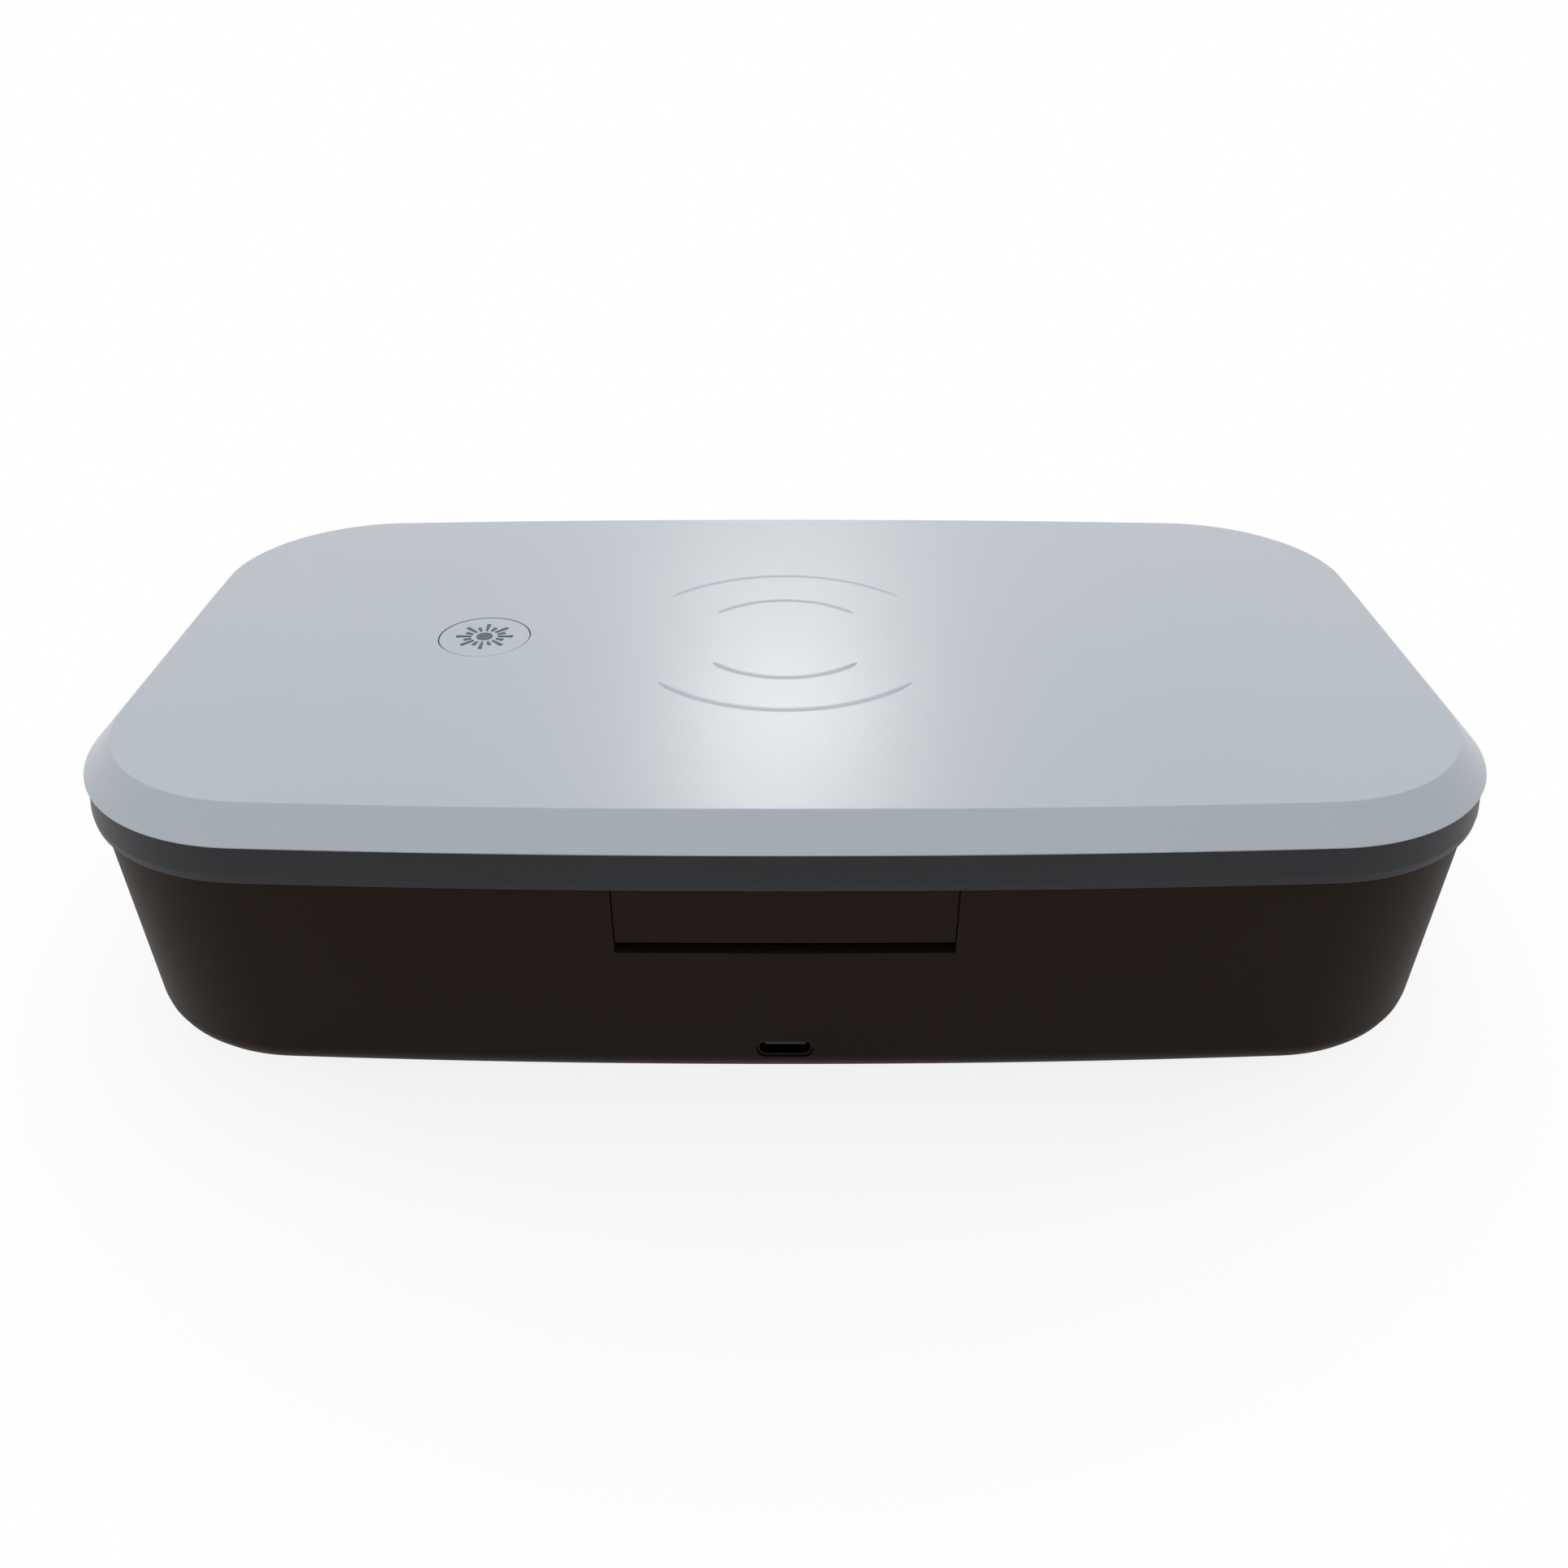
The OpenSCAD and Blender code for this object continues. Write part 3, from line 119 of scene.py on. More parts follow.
class Signal:
    """A socket of a node tree; arithmetic on it adds Math nodes."""

    __add__, __radd__ = operator("ADD"), operator("ADD", swapped=True)
    __sub__, __rsub__ = operator("SUBTRACT"), operator("SUBTRACT", swapped=True)
    __mul__, __rmul__ = operator("MULTIPLY"), operator("MULTIPLY", swapped=True)
    __truediv__, __rtruediv__ = operator("DIVIDE"), operator("DIVIDE", swapped=True)
    __mod__, __pow__ = operator("MODULO"), operator("POWER")
    __gt__ = operator("GREATER_THAN")
    at_most, at_least = operator("MINIMUM"), operator("MAXIMUM")

    def __init__(self, tree: bpy.types.NodeTree, socket: bpy.types.NodeSocket) -> None:
        """Wraps one output socket of a tree."""
        self.tree = tree
        self.socket = socket

    def apply(self, operation: str, *values: "Signal | float") -> "Signal":
        """Adds one Math node on some values and returns its result."""
        node = self.tree.nodes.new("ShaderNodeMath")
        node.operation = operation
        for socket, value in zip(node.inputs, values, strict=False):
            plug(self.tree, socket, value)
        return Signal(self.tree, node.outputs[0])

    def cosine(self) -> "Signal":
        """The cosine of an angle in radians."""
        return self.apply("COSINE", self)

    def sine(self) -> "Signal":
        """The sine of an angle in radians."""
        return self.apply("SINE", self)

    def clamped(self) -> "Signal":
        """self, held between 0 and 1."""
        return self.at_least(0.0).at_most(1.0)


def plug(tree: bpy.types.NodeTree, socket: bpy.types.NodeSocket, value: Any) -> None:
    """Links a signal to a socket, or sets the socket's own value."""
    if isinstance(value, Signal):
        tree.links.new(value.socket, socket)
    else:
        socket.default_value = value


class Wiring:
    """Adds nodes to one tree."""

    def __init__(self, tree: bpy.types.NodeTree) -> None:
        """Keeps the tree."""
        self.tree = tree

    def add(
        self,
        kind: str,
        settings: Mapping[str, Any] | None = None,
        inputs: Mapping[str | int, Any] | None = None,
        output: str | int = 0,
    ) -> Signal:
        """Adds one node.

        Args:
            kind: The node's type.
            settings: Its own properties, set first. The key "stops" fills a colour ramp.
            inputs: A value or a signal for each named or numbered input; a list links several.
            output: The output that is wanted.

        Returns:
            The signal of that output.
        """
        node = self.tree.nodes.new(kind)
        for key, value in (settings or {}).items():
            if key == "stops":
                fill_ramp(node.color_ramp, value)
            else:
                setattr(node, key, value)
        for key, value in (inputs or {}).items():
            for item in value if isinstance(value, list) else [value]:
                plug(self.tree, node.inputs[key], item)
        return Signal(self.tree, node.outputs[output])


def end_tree(tree: bpy.types.NodeTree, kind: str, signal: Signal) -> None:
    """Links a signal to the output node of a tree."""
    tree.links.new(signal.socket, tree.nodes.new(kind).inputs[0])


def fill_ramp(ramp: bpy.types.ColorRamp, stops: Sequence[tuple[float, Colour]]) -> None:
    """Sets the stops of a colour ramp."""
    while len(ramp.elements) > 1:
        ramp.elements.remove(ramp.elements[-1])
    ramp.elements[0].position, ramp.elements[0].color = stops[0]
    for position, colour in stops[1:]:
        ramp.elements.new(position).color = colour


class Paint(Wiring):
    """One procedural material: a Principled shader and the nodes that feed it."""

    def __init__(self, name: str) -> None:
        """Makes an empty material with its shader and output."""
        self.material = bpy.data.materials.new(name)
        self.material.use_nodes = True
        super().__init__(self.material.node_tree)
        self.tree.nodes.clear()
        self.shader = self.tree.nodes.new("ShaderNodeBsdfPrincipled")
        self.output = self.tree.nodes.new("ShaderNodeOutputMaterial")
        self.tree.links.new(self.shader.outputs[0], self.output.inputs["Surface"])

    def feed(self, inputs: Mapping[str, Any]) -> None:
        """Sets or links inputs of the Principled shader."""
        for key, value in inputs.items():
            plug(self.tree, self.shader.inputs[key], value)

    def place(self) -> Signal:
        """Where a point lies on the object, in metres."""
        return self.add("ShaderNodeTexCoord", output="Object")

    def noise(self, place: Signal, size: float, detail: float = 2.0, rough: float = 0.5) -> Signal:
        """Soft noise with spots of a real size, about 0.5 on average."""
        return self.add(
            "ShaderNodeTexNoise",
            inputs={"Vector": place, "Scale": 1 / size, "Detail": detail, "Roughness": rough},
        )

    def blend(self, factor: Signal | float, first: Any, second: Any) -> Signal:
        """Mixes two colours by a factor."""
        return self.add("ShaderNodeMix", {"data_type": "RGBA"}, {0: factor, 6: first, 7: second}, 2)

    def stretch(self, place: Signal, scale: Sequence[float]) -> Signal:
        """Scales a place along its three axes."""
        return self.add("ShaderNodeMapping", inputs={"Vector": place, "Scale": tuple(scale)})

    def bump(self, height: Signal, distance: float) -> Signal:
        """A normal that follows a height, which 1 raises by the distance."""
        inputs = {"Height": height, "Distance": distance, "Strength": 1.0}
        return self.add("ShaderNodeBump", inputs=inputs)


class Recipe(Wiring):
    """A Geometry Nodes tree with named inputs, which ends in real geometry with a material."""

    def __init__(self, name: str) -> None:
        """Makes the tree with its way in and its way out."""
        super().__init__(bpy.data.node_groups.new(name, "GeometryNodeTree"))
        for way in ("INPUT", "OUTPUT"):
            self.tree.interface.new_socket(
                "Geometry", in_out=way, socket_type="NodeSocketGeometry"
            )
        self.source = self.tree.nodes.new("NodeGroupInput")
        self.geometry = Signal(self.tree, self.source.outputs["Geometry"])

    def ask(self, name: str, kind: str = "Float") -> Signal:
        """Adds a named input.

        Args:
            name: The input's name.
            kind: Its type, such as Float, Int, Object or Material.

        Returns:
            Its signal.
        """
        self.tree.interface.new_socket(name, in_out="INPUT", socket_type=f"NodeSocket{kind}")
        return Signal(self.tree, self.source.outputs[name])

    def shape_of(self, item: Signal) -> Signal:
        """The geometry of an object that an input names."""
        return self.add("GeometryNodeObjectInfo", inputs={"Object": item}, output="Geometry")

    def line_of(self, geometry: Signal) -> Signal:
        """The edges of a mesh as a curve."""
        return self.add("GeometryNodeMeshToCurve", inputs={0: geometry})

    def upright(self, curve: Signal) -> Signal:
        """A flat curve whose sections stand upright along it."""
        return self.add("GeometryNodeSetCurveNormal", {"mode": "Z_UP"}, {0: curve})

    def swept(
        self,
        curve: Signal,
        profile: Signal,
        caps: Signal | bool = True,
        scale: Signal | float = 1.0,
    ) -> Signal:
        """A profile swept along a curve, its ends filled or not."""
        inputs = {"Curve": curve, "Profile Curve": profile, "Scale": scale, "Fill Caps": caps}
        return self.add("GeometryNodeCurveToMesh", inputs=inputs)

    def placed(
        self, points: Signal, item: Signal, turn: Signal, scale: Signal | Spot = (1.0, 1.0, 1.0)
    ) -> Signal:
        """Copies of an object at points, each turned about Z."""
        spin = self.add("ShaderNodeCombineXYZ", inputs={"Z": turn})
        inputs = {
            "Points": points,
            "Instance": self.shape_of(item),
            "Rotation": self.add("FunctionNodeEulerToRotation", inputs={0: spin}),
            "Scale": scale,
        }
        return self.add("GeometryNodeInstanceOnPoints", inputs=inputs)

    def close(self, geometry: Signal) -> "Recipe":
        """Ends the tree with real geometry and a material, and returns the recipe."""
        solid = self.add("GeometryNodeRealizeInstances", inputs={0: geometry})
        smooth = self.add("GeometryNodeSetShadeSmooth", inputs={0: solid, "Shade Smooth": True})
        material = self.ask("Material", "Material")
        dressed = self.add("GeometryNodeSetMaterial", inputs={0: smooth, "Material": material})
        end_tree(self.tree, "NodeGroupOutput", dressed)
        return self

    def cook(
        self, name: str, base: bpy.types.Object, values: Mapping[str, Any]
    ) -> bpy.types.Object:
        """Runs the tree on an object.

        Args:
            name: The name of the piece that it makes.
            base: The object that the tree starts from, which goes away.
            values: A value for each named input.

        Returns:
            A new object with a plain mesh and no modifier.
        """
        names = {
            item.name: item.identifier
            for item in self.tree.interface.items_tree
            if item.in_out == "INPUT"
        }
        modifier = base.modifiers.new(self.tree.name, "NODES")
        modifier.node_group = self.tree
        for key, value in values.items():
            modifier[names[key]] = value
        mesh = baked_mesh(base)
        discard(base)
        return mesh_object(name, mesh)


def baked_mesh(piece: bpy.types.Object) -> bpy.types.Mesh:
    """The plain mesh of an object with its modifiers applied."""
    graph = bpy.context.evaluated_depsgraph_get()
    return bpy.data.meshes.new_from_object(piece.evaluated_get(graph))


def mesh_object(name: str, mesh: bpy.types.Mesh) -> bpy.types.Object:
    """Puts a mesh into the scene as an object."""
    piece = bpy.data.objects.new(name, mesh)
    mesh.name = name
    bpy.context.scene.collection.objects.link(piece)
    return piece


def discard(*pieces: bpy.types.Object) -> None:
    """Deletes helper objects with their meshes."""
    for piece in pieces:
        mesh = piece.data
        bpy.data.objects.remove(piece)
        bpy.data.meshes.remove(mesh)


def sweep_recipe() -> Recipe:
    """A section swept along a path that lies flat; the section's x faces outwards."""
    recipe = Recipe("section_sweep")
    section = recipe.ask("Section", "Object")
    caps = recipe.ask("Closed Ends", "Bool")
    path = recipe.upright(recipe.line_of(recipe.geometry))
    profile = recipe.line_of(recipe.shape_of(section))
    return recipe.close(recipe.swept(path, profile, caps))


def copies_recipe() -> Recipe:
    """A piece repeated at the points of a mesh, each copy turned by chance about Z."""
    recipe = Recipe("copies_at_points")
    piece = recipe.ask("Piece", "Object")
    spread = recipe.ask("Turn")
    seed = recipe.ask("Seed", "Int")
    turn = recipe.add(
        "FunctionNodeRandomValue", {"data_type": "FLOAT"}, {"Max": spread, "Seed": seed}, 1
    )
    return recipe.close(recipe.placed(recipe.geometry, piece, turn))


def winding_recipe() -> Recipe:
    """A wire wound in a flat spiral or a helix about Z."""
    recipe = Recipe("wound_wire")
    names = ("Turns", "Start Radius", "End Radius", "Height", "Wire Radius")
    turns, start, end, height, wire = (recipe.ask(name) for name in names)
    steps = recipe.ask("Steps per Turn", "Int")
    sides = recipe.ask("Sides", "Int")
    spiral = recipe.add(
        "GeometryNodeCurveSpiral",
        inputs={
            "Resolution": steps,
            "Rotations": turns,
            "Start Radius": start,
            "End Radius": end,
            "Height": height,
        },
    )
    profile = recipe.add(
        "GeometryNodeCurvePrimitiveCircle", inputs={"Resolution": sides, "Radius": wire}
    )
    return recipe.close(recipe.swept(spiral, profile))


def arcs_recipe() -> Recipe:
    """Two pairs of low ridges, as arcs about Z that thin out at their tips."""
    recipe = Recipe("raised_arcs")
    radii = [recipe.ask("Inner Radius"), recipe.ask("Outer Radius")]
    span = recipe.ask("Span")
    section = recipe.ask("Section", "Object")
    steps, tips_along_arc = 96, 16
    along = recipe.add("GeometryNodeSplineParameter")
    tip = (along.at_most(1 - along) * tips_along_arc).at_most(1) ** 0.5
    profile = recipe.line_of(recipe.shape_of(section))
    ridges = []
    for radius in radii:
        for half_turns in (0.5, 1.5):
            start = half_turns * math.pi - span / 2
            sizes = {"Radius": radius, "Start Angle": start, "Sweep Angle": span}
            curve = recipe.add("GeometryNodeCurveArc", inputs={"Resolution": steps, **sizes})
            ridges.append(recipe.swept(recipe.upright(curve), profile, scale=tip))
    return recipe.close(recipe.add("GeometryNodeJoinGeometry", inputs={0: ridges}))


def rays_recipe() -> Recipe:
    """Rays round a centre, every second one shorter."""
    recipe = Recipe("sun_rays")
    ray = recipe.ask("Ray", "Object")
    count = recipe.ask("Count", "Int")
    start = recipe.ask("Start Radius")
    short = recipe.ask("Short Share")
    index = recipe.add("GeometryNodeInputIndex")
    angle = index * math.tau / count
    foot = recipe.add(
        "ShaderNodeCombineXYZ", inputs={"X": angle.cosine() * start, "Y": angle.sine() * start}
    )
    points = recipe.add("GeometryNodePoints", inputs={"Count": count, "Position": foot})
    length = 1 - (index % 2) * (1 - short)
    scale = recipe.add("ShaderNodeCombineXYZ", inputs={"X": length, "Y": 1.0, "Z": 1.0})
    rays = recipe.placed(points, ray, angle, scale)
    return recipe.close(
        recipe.add("GeometryNodeJoinGeometry", inputs={0: [rays, recipe.geometry]})
    )


# Finishes


@dataclass(frozen=True)
class Finish:
    """A procedural finish; each kind says what feeds its shader."""

    def inputs(self, paint: Paint, place: Signal) -> dict[str, Any]:
        """What feeds the shader, from nodes that read a place on the object."""
        raise NotImplementedError

    def build(self, name: str) -> bpy.types.Material:
        """Makes the material."""
        paint = Paint(name)
        paint.feed(self.inputs(paint, paint.place()))
        return paint.material


@dataclass(frozen=True)
class Moulding(Finish):
    """Moulded plastic with a fine spark-eroded grain and faint clouds in its tone."""

    colour: Colour
    cloud: Colour
    roughness: float
    grain: float = 0.3 * MM
    depth: float = 0.012 * MM
    specular: float = 0.5

    def inputs(self, paint: Paint, place: Signal) -> dict[str, Any]:
        """What feeds the shader."""
        clouds = paint.noise(place, size=38 * MM, detail=3.0)
        grain = paint.noise(place, size=self.grain, detail=2.0, rough=0.6)
        specks = paint.noise(place, size=0.9 * MM, detail=1.0)
        return {
            "Base Color": paint.blend(clouds, self.colour, self.cloud),
            "Roughness": (clouds - 0.5) * 0.05 + (specks - 0.5) * 0.06 + self.roughness,
            "Normal": paint.bump(grain, self.depth),
            "Specular IOR Level": self.specular,
        }


@dataclass(frozen=True)
class MirrorCoat(Finish):
    """Plastic with a bright metallised coat, slightly wavy and smudged."""

    colour: Colour = srgb(226, 229, 234)
    smudge: Colour = srgb(214, 218, 224)

    def inputs(self, paint: Paint, place: Signal) -> dict[str, Any]:
        """What feeds the shader."""
        waves = paint.noise(place, size=16 * MM, detail=1.0)
        smudges = paint.noise(place, size=24 * MM, detail=4.0, rough=0.6)
        dust = paint.noise(place, size=0.6 * MM, detail=2.0)
        return {
            "Base Color": paint.blend(smudges, self.colour, self.smudge),
            "Metallic": 1.0,
            "Roughness": smudges * 0.10 + (dust - 0.5) * 0.03 + 0.05,
            "Normal": paint.bump(waves, 0.05 * MM),
        }


@dataclass(frozen=True)
class Metal(Finish):
    """Bare or plated metal with fine drawing lines along one axis."""

    colour: Colour
    roughness: float = 0.28
    lines: tuple[float, float, float] = (1.0, 14.0, 14.0)

    def inputs(self, paint: Paint, place: Signal) -> dict[str, Any]:
        """What feeds the shader."""
        drawn = paint.noise(paint.stretch(place, self.lines), size=2.0 * MM, detail=3.0)
        stain = paint.noise(place, size=7 * MM, detail=3.0)
        stained = (*(0.72 * channel for channel in self.colour[:3]), 1.0)
        return {
            "Base Color": paint.blend(stain * 0.35, self.colour, stained),
            "Metallic": 1.0,
            "Roughness": (drawn - 0.5) * 0.16 + (stain - 0.5) * 0.08 + self.roughness,
            "Normal": paint.bump(drawn, 0.008 * MM),
        }


@dataclass(frozen=True)
class Rubber(Finish):
    """Matt rubber with a fine talc bloom."""

    colour: Colour = srgb(30, 30, 31)
    talc: Colour = srgb(52, 52, 53)

    def inputs(self, paint: Paint, place: Signal) -> dict[str, Any]:
        """What feeds the shader."""
        bloom = paint.noise(place, size=3 * MM, detail=4.0, rough=0.65)
        pores = paint.noise(place, size=0.25 * MM, detail=2.0)
        return {
            "Base Color": paint.blend(bloom * 0.6, self.colour, self.talc),
            "Roughness": bloom * 0.15 + 0.62,
            "Normal": paint.bump(pores, 0.03 * MM),
            "Specular IOR Level": 0.35,
        }


@dataclass(frozen=True)
class BoardMask(Finish):
    """Green solder mask over copper tracks, with bare pads."""

    pitch: float = 2.4 * MM
    track: Colour = srgb(22, 92, 56)
    mask: Colour = srgb(10, 58, 34)
    pad: Colour = srgb(196, 176, 120)

    def inputs(self, paint: Paint, place: Signal) -> dict[str, Any]:
        """What feeds the shader."""
        cells = paint.add(
            "ShaderNodeTexVoronoi",
            {"feature": "DISTANCE_TO_EDGE", "distance": "MANHATTAN"},
            {"Vector": place, "Scale": 1 / self.pitch, "Randomness": 0.55},
        )
        tracks = (cells > 0.06) * 0.55 + 0.1
        dots = paint.add(
            "ShaderNodeTexVoronoi",
            {"feature": "F1"},
            {"Vector": place, "Scale": 1 / (1.7 * self.pitch), "Randomness": 0.4},
        )
        pads = dots > 0.16
        mask = paint.blend(tracks, self.track, self.mask)
        return {
            "Base Color": paint.blend(pads, self.pad, mask),
            "Metallic": (1 - pads) * 0.9,
            "Roughness": pads * 0.12 + 0.22,
            "Normal": paint.bump(tracks, 0.03 * MM),
        }


@dataclass(frozen=True)
class Compound(Finish):
    """Dull moulded compound of chips, plugs, ferrite and tape, with a fine speckle."""

    colour: Colour
    speck: Colour
    roughness: float = 0.5
    size: float = 0.5 * MM

    def inputs(self, paint: Paint, place: Signal) -> dict[str, Any]:
        """What feeds the shader."""
        specks = paint.noise(place, size=self.size, detail=3.0, rough=0.7)
        film = paint.noise(place, size=6 * MM, detail=2.0)
        return {
            "Base Color": paint.blend(specks * specks * 1.4, self.colour, self.speck),
            "Roughness": (film - 0.5) * 0.12 + self.roughness,
            "Normal": paint.bump(specks, 0.01 * MM),
        }


@dataclass(frozen=True)
class ClearPart(Finish):
    """Clear glass or acrylic with faint wipe marks."""

    tint: Colour
    ior: float = 1.46
    roughness: float = 0.02
    wiped: Colour = srgb(236, 240, 244)

    def inputs(self, paint: Paint, place: Signal) -> dict[str, Any]:
        """What feeds the shader."""
        strokes = paint.stretch(place, (1.0, 3.0, 1.0))
        wipes = paint.noise(strokes, size=14 * MM, detail=4.0, rough=0.6)
        return {
            "Base Color": paint.blend(wipes * 0.25, self.tint, self.wiped),
            "Roughness": wipes * 0.05 + self.roughness,
            "Transmission Weight": 0.94,
            "IOR": self.ior,
        }


@dataclass(frozen=True)
class Winding(Finish):
    """Enamelled copper wire."""

    colour: Colour = srgb(196, 108, 60)
    dull: Colour = srgb(158, 78, 42)

    def inputs(self, paint: Paint, place: Signal) -> dict[str, Any]:
        """What feeds the shader."""
        tone = paint.noise(place, size=5 * MM, detail=3.0)
        nicks = paint.noise(place, size=0.4 * MM, detail=2.0)
        return {
            "Base Color": paint.blend(tone, self.colour, self.dull),
            "Metallic": 0.85,
            "Roughness": (tone - 0.5) * 0.1 + 0.3,
            "Coat Weight": 0.6,
            "Coat Roughness": 0.12,
            "Normal": paint.bump(nicks, 0.01 * MM),
        }


class Slot(Enum):
    """The record's material slots, each with its finish."""

    LID_PLASTIC = "lid_plastic"
    BAND_PLASTIC = "band_plastic"
    BASE_PLASTIC = "base_plastic"
    MIRROR_COAT = "mirror_coat"
    STEEL = "steel"
    BLACK_STEEL = "black_steel"
    RUBBER = "rubber"
    CIRCUIT_BOARD = "circuit_board"
    COMPONENT_BLACK = "component_black"
    INVERTER_WRAP = "inverter_wrap"
    LAMP_GLASS = "lamp_glass"
    WINDOW_GLASS = "window_glass"
    CLEAR_PLASTIC = "clear_plastic"
    MAGNET_NICKEL = "magnet_nickel"
    WIRE_COVER = "wire_cover"
    COPPER = "copper"
    FERRITE = "ferrite"
    SYMBOL_INK = "symbol_ink"


FINISHES: dict[Slot, Finish] = {
    Slot.LID_PLASTIC: Moulding(srgb(194, 199, 206), srgb(189, 195, 202), 0.3),
    Slot.BAND_PLASTIC: Moulding(srgb(54, 54, 58), srgb(50, 50, 53), 0.44, specular=0.18),
    # Near-black brown for the lower shell and the hinge leaf: partly the plastic's own tone, partly
    # painted shade and painted brown bounce light from below.
    Slot.BASE_PLASTIC: Moulding(srgb(42, 32, 25), srgb(37, 27, 20), 0.5, specular=0.05),
    Slot.MIRROR_COAT: MirrorCoat(),
    Slot.STEEL: Metal(srgb(196, 198, 202)),
    Slot.BLACK_STEEL: Metal(srgb(50, 50, 53), roughness=0.4),
    Slot.RUBBER: Rubber(),
    Slot.CIRCUIT_BOARD: BoardMask(),
    Slot.COMPONENT_BLACK: Compound(srgb(26, 26, 28), srgb(60, 60, 62)),
    Slot.INVERTER_WRAP: Compound(srgb(208, 170, 48), srgb(226, 196, 92), 0.34, size=3 * MM),
    Slot.LAMP_GLASS: ClearPart(srgb(232, 228, 250)),
    Slot.WINDOW_GLASS: ClearPart(srgb(232, 240, 246)),
    Slot.CLEAR_PLASTIC: ClearPart(srgb(228, 236, 240), ior=1.49, roughness=0.05),
    Slot.MAGNET_NICKEL: Metal(srgb(206, 204, 198), roughness=0.2, lines=(1.0, 1.0, 1.0)),
    Slot.WIRE_COVER: Compound(srgb(158, 34, 30), srgb(186, 62, 56), 0.42, size=1.2 * MM),
    Slot.COPPER: Winding(),
    Slot.FERRITE: Compound(srgb(44, 44, 47), srgb(84, 84, 90), 0.4, size=0.3 * MM),
    Slot.SYMBOL_INK: Compound(srgb(66, 76, 90), srgb(78, 88, 102), 0.5, size=0.2 * MM),
}


# Plan shapes and sections


def arc(centre: Point, radius: float, start: float, end: float, steps: int) -> Shape:
    """Points along an arc, both ends included; the angles are in radians."""
    angles = [start + (end - start) * step / steps for step in range(steps + 1)]
    return [(centre[0] + radius * math.cos(a), centre[1] + radius * math.sin(a)) for a in angles]


def circle(centre: Point, radius: float, steps: int = 48) -> Shape:
    """A full circle, counter-clockwise."""
    return arc(centre, radius, 0.0, math.tau, steps)[:-1]


def rectangle(low: Point, high: Point) -> Shape:
    """A rectangle between two corners."""
    return [low, (high[0], low[1]), high, (low[0], high[1])]


def stadium(centre: Point, width: float, height: float) -> Shape:
    """A slot shape with round ends."""
    reach = (width - height) / 2
    quarter = math.pi / 2
    right = arc((centre[0] + reach, centre[1]), height / 2, -quarter, quarter, 20)
    left = arc((centre[0] - reach, centre[1]), height / 2, quarter, 3 * quarter, 20)
    return right + left


def rounded(corners: Sequence[tuple[float, float, float]], closed: bool) -> Shape:
    """Rounds the corners of a section.

    Args:
        corners: The place of each corner and its radius.
        closed: Whether the last corner joins the first; the ends of an open one stay sharp.

    Returns:
        The points of the section.
    """
    shape: Shape = []
    last = len(corners) - 1
    for i, (x, y, radius) in enumerate(corners):
        if radius == 0.0 or (not closed and i in (0, last)):
            shape.append((x, y))
            continue
        corner = Vector((x, y))
        before = (Vector(corners[i - 1][:2]) - corner).normalized()
        after = (Vector(corners[(i + 1) % len(corners)][:2]) - corner).normalized()
        half = before.angle(after) / 2
        centre = corner + (before + after).normalized() * (radius / math.sin(half))
        first = corner + before * (radius / math.tan(half)) - centre
        turn = first.angle_signed(corner + after * (radius / math.tan(half)) - centre)
        steps = max(2, math.ceil(abs(turn) / math.radians(15)))
        start = math.atan2(first.y, first.x)
        shape += arc((centre.x, centre.y), radius, start, start - turn, steps)
    return shape


@dataclass(frozen=True)
class Plan:
    """The box's outline seen from above: round corners and long sides that swell a little."""

    half_w: float
    half_d: float
    corner_r: float = 34.0
    bow: float = 2.0

    @property
    def corner(self) -> Point:
        """The middle of the corner on the +X and +Y side."""
        return (self.half_w - self.corner_r, self.half_d - self.bow - self.corner_r)

    @property
    def bow_r(self) -> float:
        """Radius of the long sides."""
        reach = self.bow + self.corner_r
        return (self.corner[0] ** 2 + reach**2 - self.corner_r**2) / (2 * self.bow)

    @property
    def bow_angle(self) -> float:
        """Half the angle that a long side spans, in radians."""
        return math.asin(self.corner[0] / (self.bow_r - self.corner_r))

    def line(self, inset: float = 0.0, corner_steps: int = 44, bow_steps: int = 40) -> Shape:
        """The outline a distance inside the widest line, counter-clockwise."""
        x, y = self.corner
        quarter, bend = math.pi / 2, self.bow_angle
        small, large = self.corner_r - inset, self.bow_r - inset
        far, near = (0, self.half_d - self.bow_r), (0, self.bow_r - self.half_d)
        down = 3 * quarter
        stretches = [
            arc((x, y), small, 0, quarter - bend, corner_steps),
            arc(far, large, quarter - bend, quarter + bend, bow_steps),
            arc((-x, y), small, quarter + bend, 2 * quarter, corner_steps),
            arc((-x, -y), small, 2 * quarter, down - bend, corner_steps),
            arc(near, large, down - bend, down + bend, bow_steps),
            arc((x, -y), small, down + bend, 4 * quarter, corner_steps),
        ]
        shape: Shape = []
        for stretch in stretches:
            joined = bool(shape) and math.dist(shape[-1], stretch[0]) < 0.01
            shape += stretch[1:] if joined else stretch
        return shape

    def hinge_side(self, half_width: float, steps: int = 24) -> Shape:
        """The widest line along the middle of the hinge side, from -X to +X."""
        bend = math.asin(half_width / self.bow_r)
        down = 1.5 * math.pi
        return arc((0, self.bow_r - self.half_d), self.bow_r, down - bend, down + bend, steps)

    def side_y(self, x: float, inset: float) -> float:
        """How far from the middle a long side lies, at x, a distance inside the outline."""
        return self.half_d - self.bow_r + math.sqrt((self.bow_r - inset) ** 2 - x * x)


class Axis(Enum):
    """The direction in which a flat shape is drawn out; the shape's own two axes come first."""

    X = (1, 2, 0)
    Y = (0, 2, 1)
    Z = (0, 1, 2)

    def place(self, first: float, second: float, level: float) -> list[float]:
        """A point of a flat shape, at a level along this axis."""
        spot = [0.0, 0.0, 0.0]
        for index, value in zip(self.value, (first, second, level), strict=True):
            spot[index] = value
        return spot


class Join(Enum):
    """How one solid changes another."""

    ADD = "UNION"
    CUT = "DIFFERENCE"


Step = tuple[Join, bpy.types.Object]


